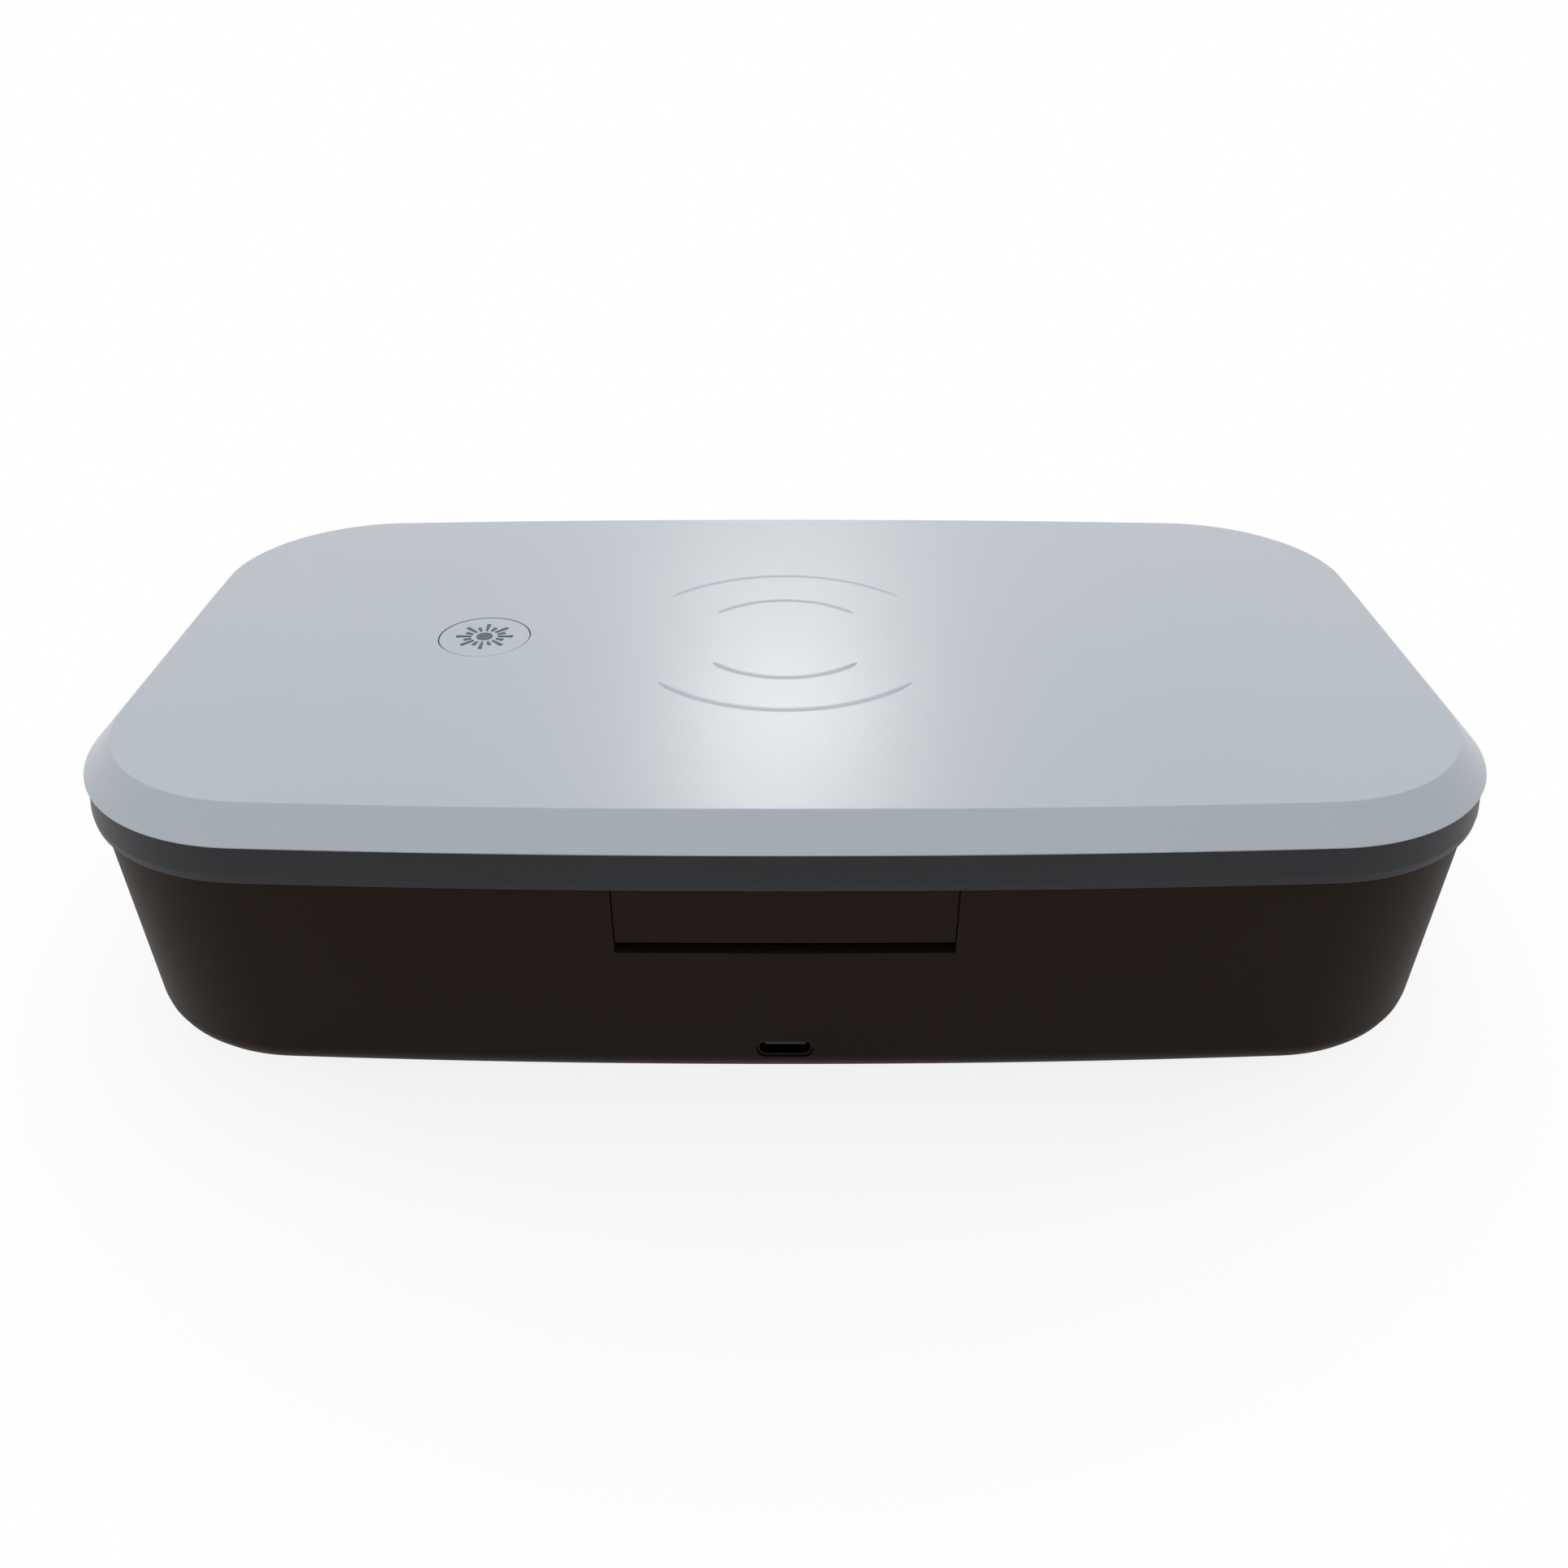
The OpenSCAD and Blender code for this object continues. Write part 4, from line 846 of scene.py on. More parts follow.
class Workshop:
    """Makes solids in millimetres, joins them and hands them to the frame in metres."""

    def __init__(self, materials: Mapping[Slot, bpy.types.Material]) -> None:
        """Keeps the materials and builds each node tree once."""
        self.materials = materials
        self.sweeping = sweep_recipe()
        self.copying = copies_recipe()
        self.winding = winding_recipe()
        self.arching = arcs_recipe()
        self.raying = rays_recipe()

    def chain(self, name: str, points: Sequence[Point], closed: bool) -> bpy.types.Object:
        """A flat line through points, as an object with edges only."""
        mesh = bpy.data.meshes.new(name)
        count = len(points)
        edges = [(i, (i + 1) % count) for i in range(count if closed else count - 1)]
        mesh.from_pydata([(x, y, 0.0) for x, y in points], edges, [])
        return mesh_object(name, mesh)

    def seed(self) -> bpy.types.Object:
        """A single point, for a node tree that makes its geometry by itself."""
        return self.chain("seed", [(0.0, 0.0)], False)

    def sweep(
        self, name: str, path: Shape, section: Shape, loop: bool = True, ring: bool = False
    ) -> bpy.types.Object:
        """Sweeps a section along a path.

        Args:
            name: The name of the solid.
            path: The path seen from above, counter-clockwise.
            section: Distances outwards from the path, each with its height.
            loop: Whether the path is closed.
            ring: Whether the section is closed; the holes left by an open one are filled flat.

        Returns:
            A closed solid.
        """
        profile = self.chain(name + "_section", [(u, -z) for u, z in section], ring)
        line = self.chain(name + "_path", path, loop)
        sizes = {"Section": profile, "Closed Ends": ring and not loop}
        piece = self.sweeping.cook(name, line, sizes)
        discard(profile)
        tidy_mesh(piece, fill=not ring)
        return piece

    def prisms(
        self, name: str, shapes: Sequence[Shape], low: float, high: float, axis: Axis = Axis.Z
    ) -> bpy.types.Object:
        """Flat shapes drawn out between two places along an axis, in one mesh."""
        form = bmesh.new()
        for shape in shapes:
            near, far = (
                [form.verts.new(axis.place(*point, level)) for point in shape]
                for level in (low, high)
            )
            form.faces.new(near[::-1])
            form.faces.new(far)
            for i in range(len(shape)):
                j = (i + 1) % len(shape)
                form.faces.new((near[i], near[j], far[j], far[i]))
        return form_object(name, form)

    def drums(
        self,
        name: str,
        centres: Sequence[Point],
        radius: float,
        low: float,
        high: float,
        axis: Axis = Axis.Z,
    ) -> bpy.types.Object:
        """Round solids of one size at some places."""
        return self.prisms(name, [circle(centre, radius) for centre in centres], low, high, axis)

    def both_ends(self, join: Join, shape: Shape, near: float, far: float) -> list[Step]:
        """A shape drawn out along X between two distances, on each side of the middle."""
        reaches = [sorted((side * near, side * far)) for side in (-1, 1)]
        return [(join, self.prisms("end", [shape], *reach, Axis.X)) for reach in reaches]

    def lathe(
        self, name: str, profile: Shape, centre: Point = (0.0, 0.0), steps: int = 96
    ) -> bpy.types.Object:
        """Turns a profile of radii and heights round an upright axis."""
        form = bmesh.new()
        verts = [form.verts.new((radius, 0.0, height)) for radius, height in profile]
        edges = [form.edges.new(pair) for pair in zip(verts, verts[1:], strict=False)]
        bmesh.ops.spin(
            form, geom=verts + edges, axis=(0, 0, 1), angle=math.tau, steps=steps, use_merge=True
        )
        bmesh.ops.translate(form, verts=form.verts, vec=(*centre, 0.0))
        bmesh.ops.remove_doubles(form, verts=form.verts, dist=SAME_PLACE)
        return form_object(name, form)

    def wind(
        self,
        name: str,
        turns: float,
        radii: Point,
        height: float,
        wire: float,
        steps: int,
        sides: int,
    ) -> bpy.types.Object:
        """Winds a wire about Z.

        Args:
            name: The name of the piece.
            turns: How often it goes round.
            radii: The coil's radius at its start and at its end.
            height: How far it rises.
            wire: The wire's own radius.
            steps: The steps of each turn.
            sides: The sides of the wire.

        Returns:
            The coil, which starts at height 0.
        """
        sizes = {
            "Turns": turns,
            "Start Radius": radii[0],
            "End Radius": radii[1],
            "Height": height,
            "Wire Radius": wire,
            "Steps per Turn": steps,
            "Sides": sides,
        }
        return self.winding.cook(name, self.seed(), sizes)

    def combine(self, piece: bpy.types.Object, steps: Sequence[Step]) -> None:
        """Adds solids to a piece and cuts others from it, in order; the others go away."""
        for join, other in steps:
            modifier = piece.modifiers.new(join.name, "BOOLEAN")
            modifier.operation = join.value
            modifier.solver = "EXACT"
            modifier.object = other
        swap_mesh(piece, baked_mesh(piece))
        discard(*[other for _, other in steps])

    def repeat(
        self, name: str, piece: bpy.types.Object, places: Sequence[Point], turn: float, seed: int
    ) -> bpy.types.Object:
        """Copies of a piece at some places, each turned by chance up to an angle."""
        points = self.chain(name + "_places", places, False)
        made = self.copying.cook(name, points, {"Piece": piece, "Turn": turn, "Seed": seed})
        discard(piece)
        return made

    def settle(self, piece: bpy.types.Object, body: str, slot: Slot, nodes: Sequence[str]) -> None:
        """Dresses a finished piece and lets it ride on its body.

        Args:
            piece: The piece.
            body: The body that it moves with.
            slot: Its material slot.
            nodes: The carried-over nodes that it stands for.
        """
        tidy_mesh(piece, fill=False)
        mesh = piece.data
        mesh.transform(Matrix.Scale(MM, 4))
        mesh.materials.clear()
        mesh.materials.append(self.materials[slot])
        mesh.polygons.foreach_set("material_index", [0] * len(mesh.polygons))
        mesh.polygons.foreach_set("use_smooth", [True] * len(mesh.polygons))
        mesh.set_sharp_from_angle(angle=SMOOTH_BELOW)
        even = piece.modifiers.new("even_shading", "WEIGHTED_NORMAL")
        even.keep_sharp = True
        swap_mesh(piece, baked_mesh(piece))
        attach(piece, body)
        if nodes:
            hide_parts(*nodes)
        LOG.info("made %s: %d faces, on %s", piece.name, len(piece.data.polygons), body)


def form_object(name: str, form: bmesh.types.BMesh) -> bpy.types.Object:
    """Turns the faces of a form outwards and puts it into the scene as an object."""
    bmesh.ops.recalc_face_normals(form, faces=form.faces)
    mesh = bpy.data.meshes.new(name)
    form.to_mesh(mesh)
    form.free()
    return mesh_object(name, mesh)


def swap_mesh(piece: bpy.types.Object, mesh: bpy.types.Mesh) -> None:
    """Gives an object a new mesh and drops its modifiers and its old mesh."""
    old = piece.data
    piece.modifiers.clear()
    piece.data = mesh
    bpy.data.meshes.remove(old)
    mesh.name = piece.name


def tidy_mesh(piece: bpy.types.Object, fill: bool) -> None:
    """Merges doubles, drops loose bits, fills flat holes if asked and turns the faces outwards."""
    form = bmesh.new()
    form.from_mesh(piece.data)
    bmesh.ops.remove_doubles(form, verts=form.verts, dist=SAME_PLACE)
    bmesh.ops.dissolve_degenerate(form, edges=form.edges, dist=NO_LENGTH)
    loose = [vert for vert in form.verts if not vert.link_faces]
    bmesh.ops.delete(form, geom=loose, context="VERTS")
    if fill:
        edges = [edge for edge in form.edges if edge.is_boundary]
        bmesh.ops.holes_fill(form, edges=edges, sides=0)
    bmesh.ops.recalc_face_normals(form, faces=form.faces)
    form.to_mesh(piece.data)
    form.free()


# The pieces of the box, in millimetres


@dataclass(frozen=True)
class Levels:
    """Sizes that several pieces share, and how the wall of the base leans."""

    half_w: float = 114.0
    half_d: float = 64.0
    lid_top: float = 51.2
    cover_under: float = 49.2
    band_top: float = 45.9
    flange_top: float = 41.85
    band_bottom: float = 40.6
    rim: float = 40.1
    ledge: float = 38.25
    floor: float = 2.7
    bottom: float = 0.5
    base_inset: float = 1.2
    base_draft: float = math.radians(4.0)
    axis_y: float = -60.2511
    axis_z: float = 32.25
    lid_line: float = 6.5
    lid_screw_x: float = 75.0
    leaf_screw_x: Point = (8.0, 21.0)
    cable_x: float = 14.5
    cable_r: float = 0.9
    pilot_r: float = 0.95
    plate_in: float = -16.0
    past: float = 1.0

    @property
    def plan(self) -> Plan:
        """The outline seen from above."""
        return Plan(self.half_w, self.half_d)

    @property
    def hinge_line(self) -> float:
        """Where the leaf's screws and cables stand."""
        return self.lid_line - self.half_d

    def outer(self, z: float) -> float:
        """The outer face of the base's wall at a height, as a distance from the outline."""
        return -self.base_inset - (self.rim - z) * math.tan(self.base_draft)

    def inner(self, z: float, wall: float) -> float:
        """A face that lies a wall's thickness inside the outer one."""
        return self.outer(z) - wall / math.cos(self.base_draft)

    def lid_screw_places(self) -> list[Point]:
        """Where the screws that hold the band to the cover stand."""
        side = self.plan.side_y(self.lid_screw_x, self.lid_line)
        end = self.half_w - self.lid_line
        return [*quartet(self.lid_screw_x, side), (-end, 0.0), (end, 0.0)]

    def leaf_screw_places(self) -> list[Point]:
        """Where the screws that hold the leaf to the band stand."""
        return [place for x in self.leaf_screw_x for place in mirrored(x, self.hinge_line)]


def mirrored(x: float, y: float) -> list[Point]:
    """Two places, one on each side of the middle."""
    return [(-x, y), (x, y)]


def quartet(x: float, y: float) -> list[Point]:
    """Four places, one in each quarter."""
    return [(sx * x, sy * y) for sx in (-1, 1) for sy in (-1, 1)]


@dataclass
class Assembly:
    """A part of the box that makes its own pieces."""

    shop: Workshop
    at: Levels = field(default=Levels(), kw_only=True)

    def build(self) -> None:
        """Makes the pieces."""
        raise NotImplementedError


@dataclass
class LidCover(Assembly):
    """The pale top with its sloped edge, the button's hole and the raised charging symbol."""

    slope_run: float = 4.9
    crease_r: float = 0.35
    edge_r: float = 0.12
    hem: float = 0.3
    hem_r: float = 0.1
    wall_foot: float = 3.35
    wall_root: float = 1.2
    root_r: float = 0.6
    button: Point = (-54.3, 0.2)
    hole_r: float = 8.3
    pillar_r: float = 2.4
    stud_r: float = 2.2
    stud_inset: float = 3.0
    root: float = 0.5
    pilots_low: float = 40.0
    arc_radii: Point = (16.3, 28.1)
    arc_span: float = 101.0
    arc_width: float = 1.5
    arc_height: float = 0.27
    arc_root: float = 0.2

    def section(self) -> Shape:
        """The section of the sloped edge, with a part of the plate."""
        top, low, under = self.at.lid_top, self.at.band_top, self.at.cover_under
        corners = [
            (self.at.plate_in, top, 0.0),
            (-self.slope_run, top, self.crease_r),
            (0.0, low + self.hem, self.edge_r),
            (-self.hem, low, self.hem_r),
            (-self.wall_foot, low, self.hem_r),
            (-self.slope_run - self.wall_root, under, self.root_r),
            (self.at.plate_in, under, 0.0),
        ]
        return rounded(corners, closed=False)

    def ridge(self, steps: int = 16) -> Shape:
        """The section of a raised arc: a soft swell, with its foot below the surface."""
        half = self.arc_width / 2
        shape: Shape = [(half, self.arc_root), (-half, self.arc_root)]
        for step in range(steps + 1):
            u = -half + self.arc_width * step / steps
            swell = (1 + math.cos(math.pi * u / half)) / 2 * self.arc_height
            shape.append((u, -swell))
        return shape

    def build(self) -> None:
        """Makes the cover and its symbol."""
        shop, at = self.shop, self.at
        under, past, pilot_r = at.cover_under, at.past, at.pilot_r
        cover = shop.sweep("lid_cover_shell", at.plan.line(), self.section())
        pillars = at.lid_screw_places()
        low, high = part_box("charger_board")
        inset, root = self.stud_inset, under + self.root
        hole_low, hole_high = under - past, at.lid_top + past
        studs = [
            (x, y)
            for x in (low.x / MM + inset, high.x / MM - inset)
            for y in (low.y / MM + inset, high.y / MM - inset)
        ]
        steps = [
            (Join.ADD, shop.drums("pillars", pillars, self.pillar_r, at.flange_top, root)),
            (Join.ADD, shop.drums("studs", studs, self.stud_r, high.z / MM, root)),
            (Join.CUT, shop.drums("hole", [self.button], self.hole_r, hole_low, hole_high)),
            (Join.CUT, shop.drums("pilots", pillars, pilot_r, self.pilots_low, under - past)),
            (Join.CUT, shop.drums("pilots", studs, pilot_r, self.pilots_low, under - self.root)),
        ]
        shop.combine(cover, steps)
        shop.settle(cover, "lid", Slot.LID_PLASTIC, ["lid_cover"])
        self.raise_symbol()

    def raise_symbol(self) -> None:
        """Makes the raised arcs."""
        ridge = self.shop.chain("ridge_section", self.ridge(), True)
        sizes = {
            "Inner Radius": self.arc_radii[0],
            "Outer Radius": self.arc_radii[1],
            "Span": math.radians(self.arc_span),
            "Section": ridge,
        }
        arcs = self.shop.arching.cook("charging_symbol", self.shop.seed(), sizes)
        discard(ridge)
        arcs.data.transform(Matrix.Translation((0.0, 0.0, self.at.lid_top)))
        self.shop.settle(arcs, "lid", Slot.LID_PLASTIC, [])


@dataclass
class LidFrame(Assembly):
    """The dark band under the slope, with the flange that carries the lid's insides."""

    wall: float = 2.2
    inset: float = 0.55
    top_r: float = 0.12
    swell_low: float = 0.5
    swell_r: float = 0.6
    flange: float = 11.6
    lip: float = 0.85
    lip_out: float = 0.12
    lip_in: float = 1.0
    lip_root: float = 1.05
    rib_out: float = 4.5
    rib_in: float = 5.5
    rib_drop: float = 1.2
    rib_rise: float = 0.9
    inner_r: float = 0.3
    flange_r: float = 0.15
    magnet_x: float = 22.0
    magnet_r: float = 1.95
    magnet_in: float = 0.4
    cup_wall: float = 0.65
    cup_h: float = 2.0
    bumper_x: float = 60.0
    bumper_r: float = 2.05
    bumper_room: float = 0.6
    pillar_r: float = 2.7
    pillar_room: float = 8.0
    head_r: float = 2.0
    head_room: float = 0.7
    screw_r: float = 1.1

    def section(self) -> Shape:
        """The closed section of the band with its lower lip, its flange and its upper rib."""
        top, low, step = self.at.band_top, self.at.band_bottom, self.at.flange_top
        back = -self.wall - self.inset
        corners = [
            (-self.inset, top, self.top_r),
            (0.0, low + self.swell_low, self.swell_r),
            (-self.lip_out, low - self.lip, 0.2),
            (-self.lip_in, low - self.lip, self.flange_r),
            (-self.lip_root, low, 0.05),
            (-self.flange, low, self.flange_r),
            (-self.flange, step, self.flange_r),
            (back, step, self.inner_r),
            (back, top - self.rib_drop, self.inner_r),
            (-self.rib_in, top - self.rib_drop, 0.1),
            (-self.rib_in, top + self.rib_rise, self.flange_r),
            (-self.rib_out, top + self.rib_rise, self.flange_r),
            (-self.rib_out, top, 0.1),
        ]
        return rounded(corners, closed=True)

    def build(self) -> None:
        """Makes the band."""
        shop, at = self.shop, self.at
        low, step, past = at.band_bottom, at.flange_top, at.past
        band = shop.sweep("lid_band", at.plan.line(), self.section(), ring=True)
        cup_y = at.plan.side_y(self.magnet_x, at.lid_line + self.magnet_in)
        cups = mirrored(self.magnet_x, cup_y)
        bumpers = mirrored(self.bumper_x, at.plan.side_y(self.bumper_x, at.lid_line))
        cables = mirrored(at.cable_x, at.hinge_line)
        small, places = at.leaf_screw_places(), at.lid_screw_places()
        cup_r, cup_top = self.magnet_r + self.cup_wall, step + self.cup_h
        rooms = [
            ("cups", cups, self.magnet_r, step, cup_top + past),
            ("pillar_room", places, self.pillar_r, step, step + self.pillar_room),
            ("head_room", places, self.head_r, low - past, low + self.head_room),
            ("screw_room", places, self.screw_r, low - past, step + past),
            ("bumper_room", bumpers, self.bumper_r, low - past, low + self.bumper_room),
            ("leaf_room", small, self.screw_r, low - past, step + past),
            ("cable_room", cables, at.cable_r, low - past, step + past),
        ]
        steps = [(Join.ADD, shop.drums("cups", cups, cup_r, step - 0.4, cup_top))]
        steps += [(Join.CUT, shop.drums(*room)) for room in rooms]
        shop.combine(band, steps)
        shop.settle(band, "lid", Slot.BAND_PLASTIC, ["lid_frame"])


@dataclass
class HingeLeaf(Assembly):
    """The wide dark leaf that hangs from the lid into the wall of the base."""

    half_w: float = 26.0
    bottom: float = 28.8
    wall: float = 2.0
    low_r: float = 0.35
    top_r: float = 0.15
    bend_r: float = 0.5
    foot_w: float = 8.6
    foot_t: float = 1.45
    barrel_x: float = 17.0
    barrel_r: float = 1.7
    bore_r: float = 1.2
    bore_lead: float = 1.5
    boss_r: float = 2.1
    boss_h: float = 4.6
    boss_in: float = 0.2
    pilot_h: float = 4.0

    def section(self) -> Shape:
        """The closed section of the leaf and its foot."""
        at, low, top = self.at, self.bottom, self.at.band_bottom
        under = top - self.foot_t
        corners = [
            (at.outer(low), low, self.low_r),
            (at.outer(top), top, self.top_r),
            (-self.foot_w, top, self.top_r),
            (-self.foot_w, under, self.top_r),
            (at.inner(under, self.wall), under, self.bend_r),
            (at.inner(low, self.wall), low, self.low_r),
        ]
        return rounded(corners, closed=True)

    def build(self) -> None:
        """Makes the leaf."""
        shop, at = self.shop, self.at
        top, past = at.band_bottom, at.past
        side = at.plan.hinge_side(self.half_w)
        leaf = shop.sweep("leaf", side, self.section(), loop=False, ring=True)
        axis = (at.axis_y, at.axis_z)
        bosses, cables = at.leaf_screw_places(), mirrored(at.cable_x, at.hinge_line)
        bore_x = at.cable_x - self.bore_lead
        cable_low = top - self.foot_t - past
        boss_low, boss_high = top - self.boss_h, top - self.boss_in
        steps = [
            *shop.both_ends(Join.ADD, circle(axis, self.barrel_r), self.barrel_x, self.half_w),
            (Join.ADD, shop.drums("boss", bosses, self.boss_r, boss_low, boss_high)),
            *shop.both_ends(Join.CUT, circle(axis, self.bore_r), bore_x, self.half_w + past),
            (Join.CUT, shop.drums("pilots", bosses, at.pilot_r, top - self.pilot_h, top + past)),
            (Join.CUT, shop.drums("cable_holes", cables, at.cable_r, cable_low, top + past)),
        ]
        shop.combine(leaf, steps)
        shop.settle(leaf, "lid", Slot.BASE_PLASTIC, ["hinge_leaf"])


@dataclass
class BaseShell(Assembly):
    """The dark lower shell with its leaning wall, round bottom edge, hinge slot and inlet."""

    wall: float = 2.2
    bottom_r: float = 5.2
    rim_drop: float = 0.3
    rim_r: float = 0.25
    rim_out: float = 2.0
    rim_in: float = 2.7
    fine_r: float = 0.05
    root: float = 0.4
    notch_x: float = 26.2
    notch_back: float = -56.0
    notch_low: float = 26.85
    cheek_x: float = 31.2
    cheek_r: float = 2.5
    cheek_out: float = 1.0
    pocket_w: float = 5.0
    pocket_out: float = 0.65
    bore_r: float = 1.13
    port_w: float = 9.25
    port_h: float = 3.5
    port_z: float = 6.45
    port_back: float = -52.0
    boss_x: float = 31.0
    boss_y: float = -39.947
    boss_reach: float = 12.0
    boss_r: float = 2.6
    boss_top: float = 8.05
    foot_place: Point = (86.0, 38.0)
    foot_room: float = 0.6
    foot_room_r: float = 6.1
    cup_r: float = 4.6
    cup_top: float = 4.5
    head_r: float = 2.9
    head_top: float = 3.0
    screw_r: float = 1.45
    screw_top: float = 6.0

    def section(self) -> Shape:
        """The section of the wall, with a part of the floor."""
        at, low = self.at, self.at.rim - self.rim_drop
        corners = [
            (at.plate_in, at.bottom, 0.0),
            (at.outer(at.bottom), at.bottom, self.bottom_r),
            (at.outer(low), low, self.rim_r),
            (-self.rim_out, at.rim, self.rim_r),
            (-self.rim_in, at.rim, 0.2),
            (-self.rim_in, at.ledge, self.fine_r),
            (at.inner(at.ledge, self.wall), at.ledge, self.fine_r),
            (at.inner(at.floor, self.wall), at.floor, self.bottom_r - self.wall),
            (at.plate_in, at.floor, 0.0),
        ]
        return rounded(corners, closed=False)

    def build(self) -> None:
        """Makes the shell and its feet."""
        shop, at, past = self.shop, self.at, self.at.past
        shell = shop.sweep("base_body", at.plan.line(), self.section())
        feet = quartet(*self.foot_place)
        bosses = [
            place
            for side in (-1, 1)
            for place in mirrored(self.boss_x, self.boss_y + side * self.boss_reach)
        ]
        y, z, back, far = at.axis_y, at.axis_z, self.notch_back, -at.half_d - past
        cheek = rectangle(
            (y - self.cheek_out, z - self.cheek_r), (y + self.cheek_r, z + self.cheek_r)
        )
        room = rectangle((y - self.pocket_out, z - self.cheek_r), (back, z + self.cheek_r))
        notch = rectangle((-self.notch_x, self.notch_low), (self.notch_x, at.rim + past))
        mouth = stadium((0.0, self.port_z), self.port_w, self.port_h)
        pocket_x, reach = self.cheek_x + self.pocket_w, self.cheek_x + 0.01
        low, under = at.bottom + self.root, at.bottom - past
        room_top = at.bottom + self.foot_room
        steps = [
            (Join.ADD, shop.drums("cups", feet, self.cup_r, low, self.cup_top)),
            (Join.ADD, shop.drums("bosses", bosses, self.boss_r, low, self.boss_top)),
            *shop.both_ends(Join.ADD, cheek, self.notch_x - past, self.cheek_x),
            (Join.CUT, shop.prisms("notch", [notch], far, back, Axis.Y)),
            *shop.both_ends(Join.CUT, room, self.cheek_x, pocket_x),
            (Join.CUT, shop.drums("bore", [(y, z)], self.bore_r, -reach, reach, Axis.X)),
            (Join.CUT, shop.prisms("inlet", [mouth], far, self.port_back, Axis.Y)),
            (Join.CUT, shop.drums("pilots", bosses, at.pilot_r, at.floor, self.boss_top + past)),
            (Join.CUT, shop.drums("rooms", feet, self.foot_room_r, under, room_top)),
            (Join.CUT, shop.drums("heads", feet, self.head_r, under, self.head_top)),
            (Join.CUT, shop.drums("screws", feet, self.screw_r, under, self.screw_top)),
        ]
        shop.combine(shell, steps)
        shop.settle(shell, "base", Slot.BASE_PLASTIC, ["base_shell"])
        self.lay_feet(feet)

    def lay_feet(self, places: Sequence[Point]) -> None:
        """Puts a ringed rubber foot at each place."""
        dimple, groove, bevel, top, fine = 0.3, 0.25, 0.4, 1.05, 0.1
        corners = [
            (0.0, dimple, 0.0),
            (1.6, dimple, fine),
            (1.9, 0.0, fine),
            (2.9, 0.0, fine),
            (3.2, groove, fine),
            (3.8, groove, fine),
            (4.1, 0.0, fine),
            (5.6, 0.0, fine),
            (6.0, bevel, 2 * fine),
            (6.0, top, fine),
            (0.0, top, 0.0),
        ]
        foot = self.shop.lathe("foot", rounded(corners, closed=False))
        feet = self.shop.repeat("foot_set", foot, places, turn=0.0, seed=3)
        self.shop.settle(feet, "base", Slot.RUBBER, ["rubber_feet"])


@dataclass
class PowerButton(Assembly):
    """The round button with its stem and the printed sun."""

    centre: Point = (-54.3, 0.2)
    radius: float = 8.1
    edge_r: float = 0.25
    roof_t: float = 1.4
    skirt_t: float = 1.5
    skirt_low: float = 48.1
    flange_r: float = 9.0
    flange_top: float = 49.1
    stem_r: float = 2.4
    stem_low: float = 47.05
    bend_r: float = 0.3
    fine_r: float = 0.15
    ray_count: int = 16
    disc_r: float = 1.45
    ray_start: float = 2.4
    ray_length: float = 2.7
    short_length: float = 1.4
    ray_w: float = 0.68
    ink_t: float = 0.12

    def build(self) -> None:
        """Makes the button and its symbol."""
        shop, top = self.shop, self.at.lid_top
        roof, skirt = top - self.roof_t, self.radius - self.skirt_t
        corners = [
            (0.0, self.stem_low, 0.0),
            (self.stem_r, self.stem_low, self.fine_r),
            (self.stem_r, roof, self.bend_r),
            (skirt, roof, self.bend_r),
            (skirt, self.skirt_low, 0.1),
            (self.flange_r, self.skirt_low, self.fine_r),
            (self.flange_r, self.flange_top, self.fine_r),
            (self.radius, self.flange_top, 0.1),
            (self.radius, top, self.edge_r),
            (0.0, top, 0.0),
        ]
        cap = shop.lathe("button_cap", rounded(corners, closed=False), self.centre, steps=128)
        shop.settle(cap, "button", Slot.LID_PLASTIC, ["power_button"])
        disc = shop.drums("sun_disc", [(0.0, 0.0)], self.disc_r, 0.0, self.ink_t)
        inner, outer = self.ray_w / 4, self.ray_w / 2
        wedge = [(0.0, -inner), (self.ray_length, -outer), (self.ray_length, outer), (0.0, inner)]
        ray = shop.prisms("sun_ray", [wedge], 0.0, self.ink_t)
        sizes = {
            "Ray": ray,
            "Count": self.ray_count,
            "Start Radius": self.ray_start,
            "Short Share": self.short_length / self.ray_length,
        }
        sun = shop.raying.cook("sun_print", disc, sizes)
        discard(ray)
        sun.data.transform(Matrix.Translation((*self.centre, top)))
        shop.settle(sun, "button", Slot.SYMBOL_INK, ["sun_symbol"])


@dataclass
class ChargingCoil(Assembly):
    """The flat spiral of enamelled wire under the lid's plate."""

    inner_r: float = 10.5
    outer_r: float = 24.0
    thick: float = 0.9
    gap: float = 0.01
    turns: float = 14.0

    def build(self) -> None:
        """Makes the coil."""
        wire = self.thick / 2
        radii = (self.inner_r + wire, self.outer_r - wire)
        coil = self.shop.wind("coil_wire", self.turns, radii, 0.0, wire - self.gap, 72, 10)
        coil.data.transform(Matrix.Translation((0.0, 0.0, self.at.cover_under - wire)))
        self.shop.settle(coil, "lid", Slot.COPPER, ["charging_coil"])


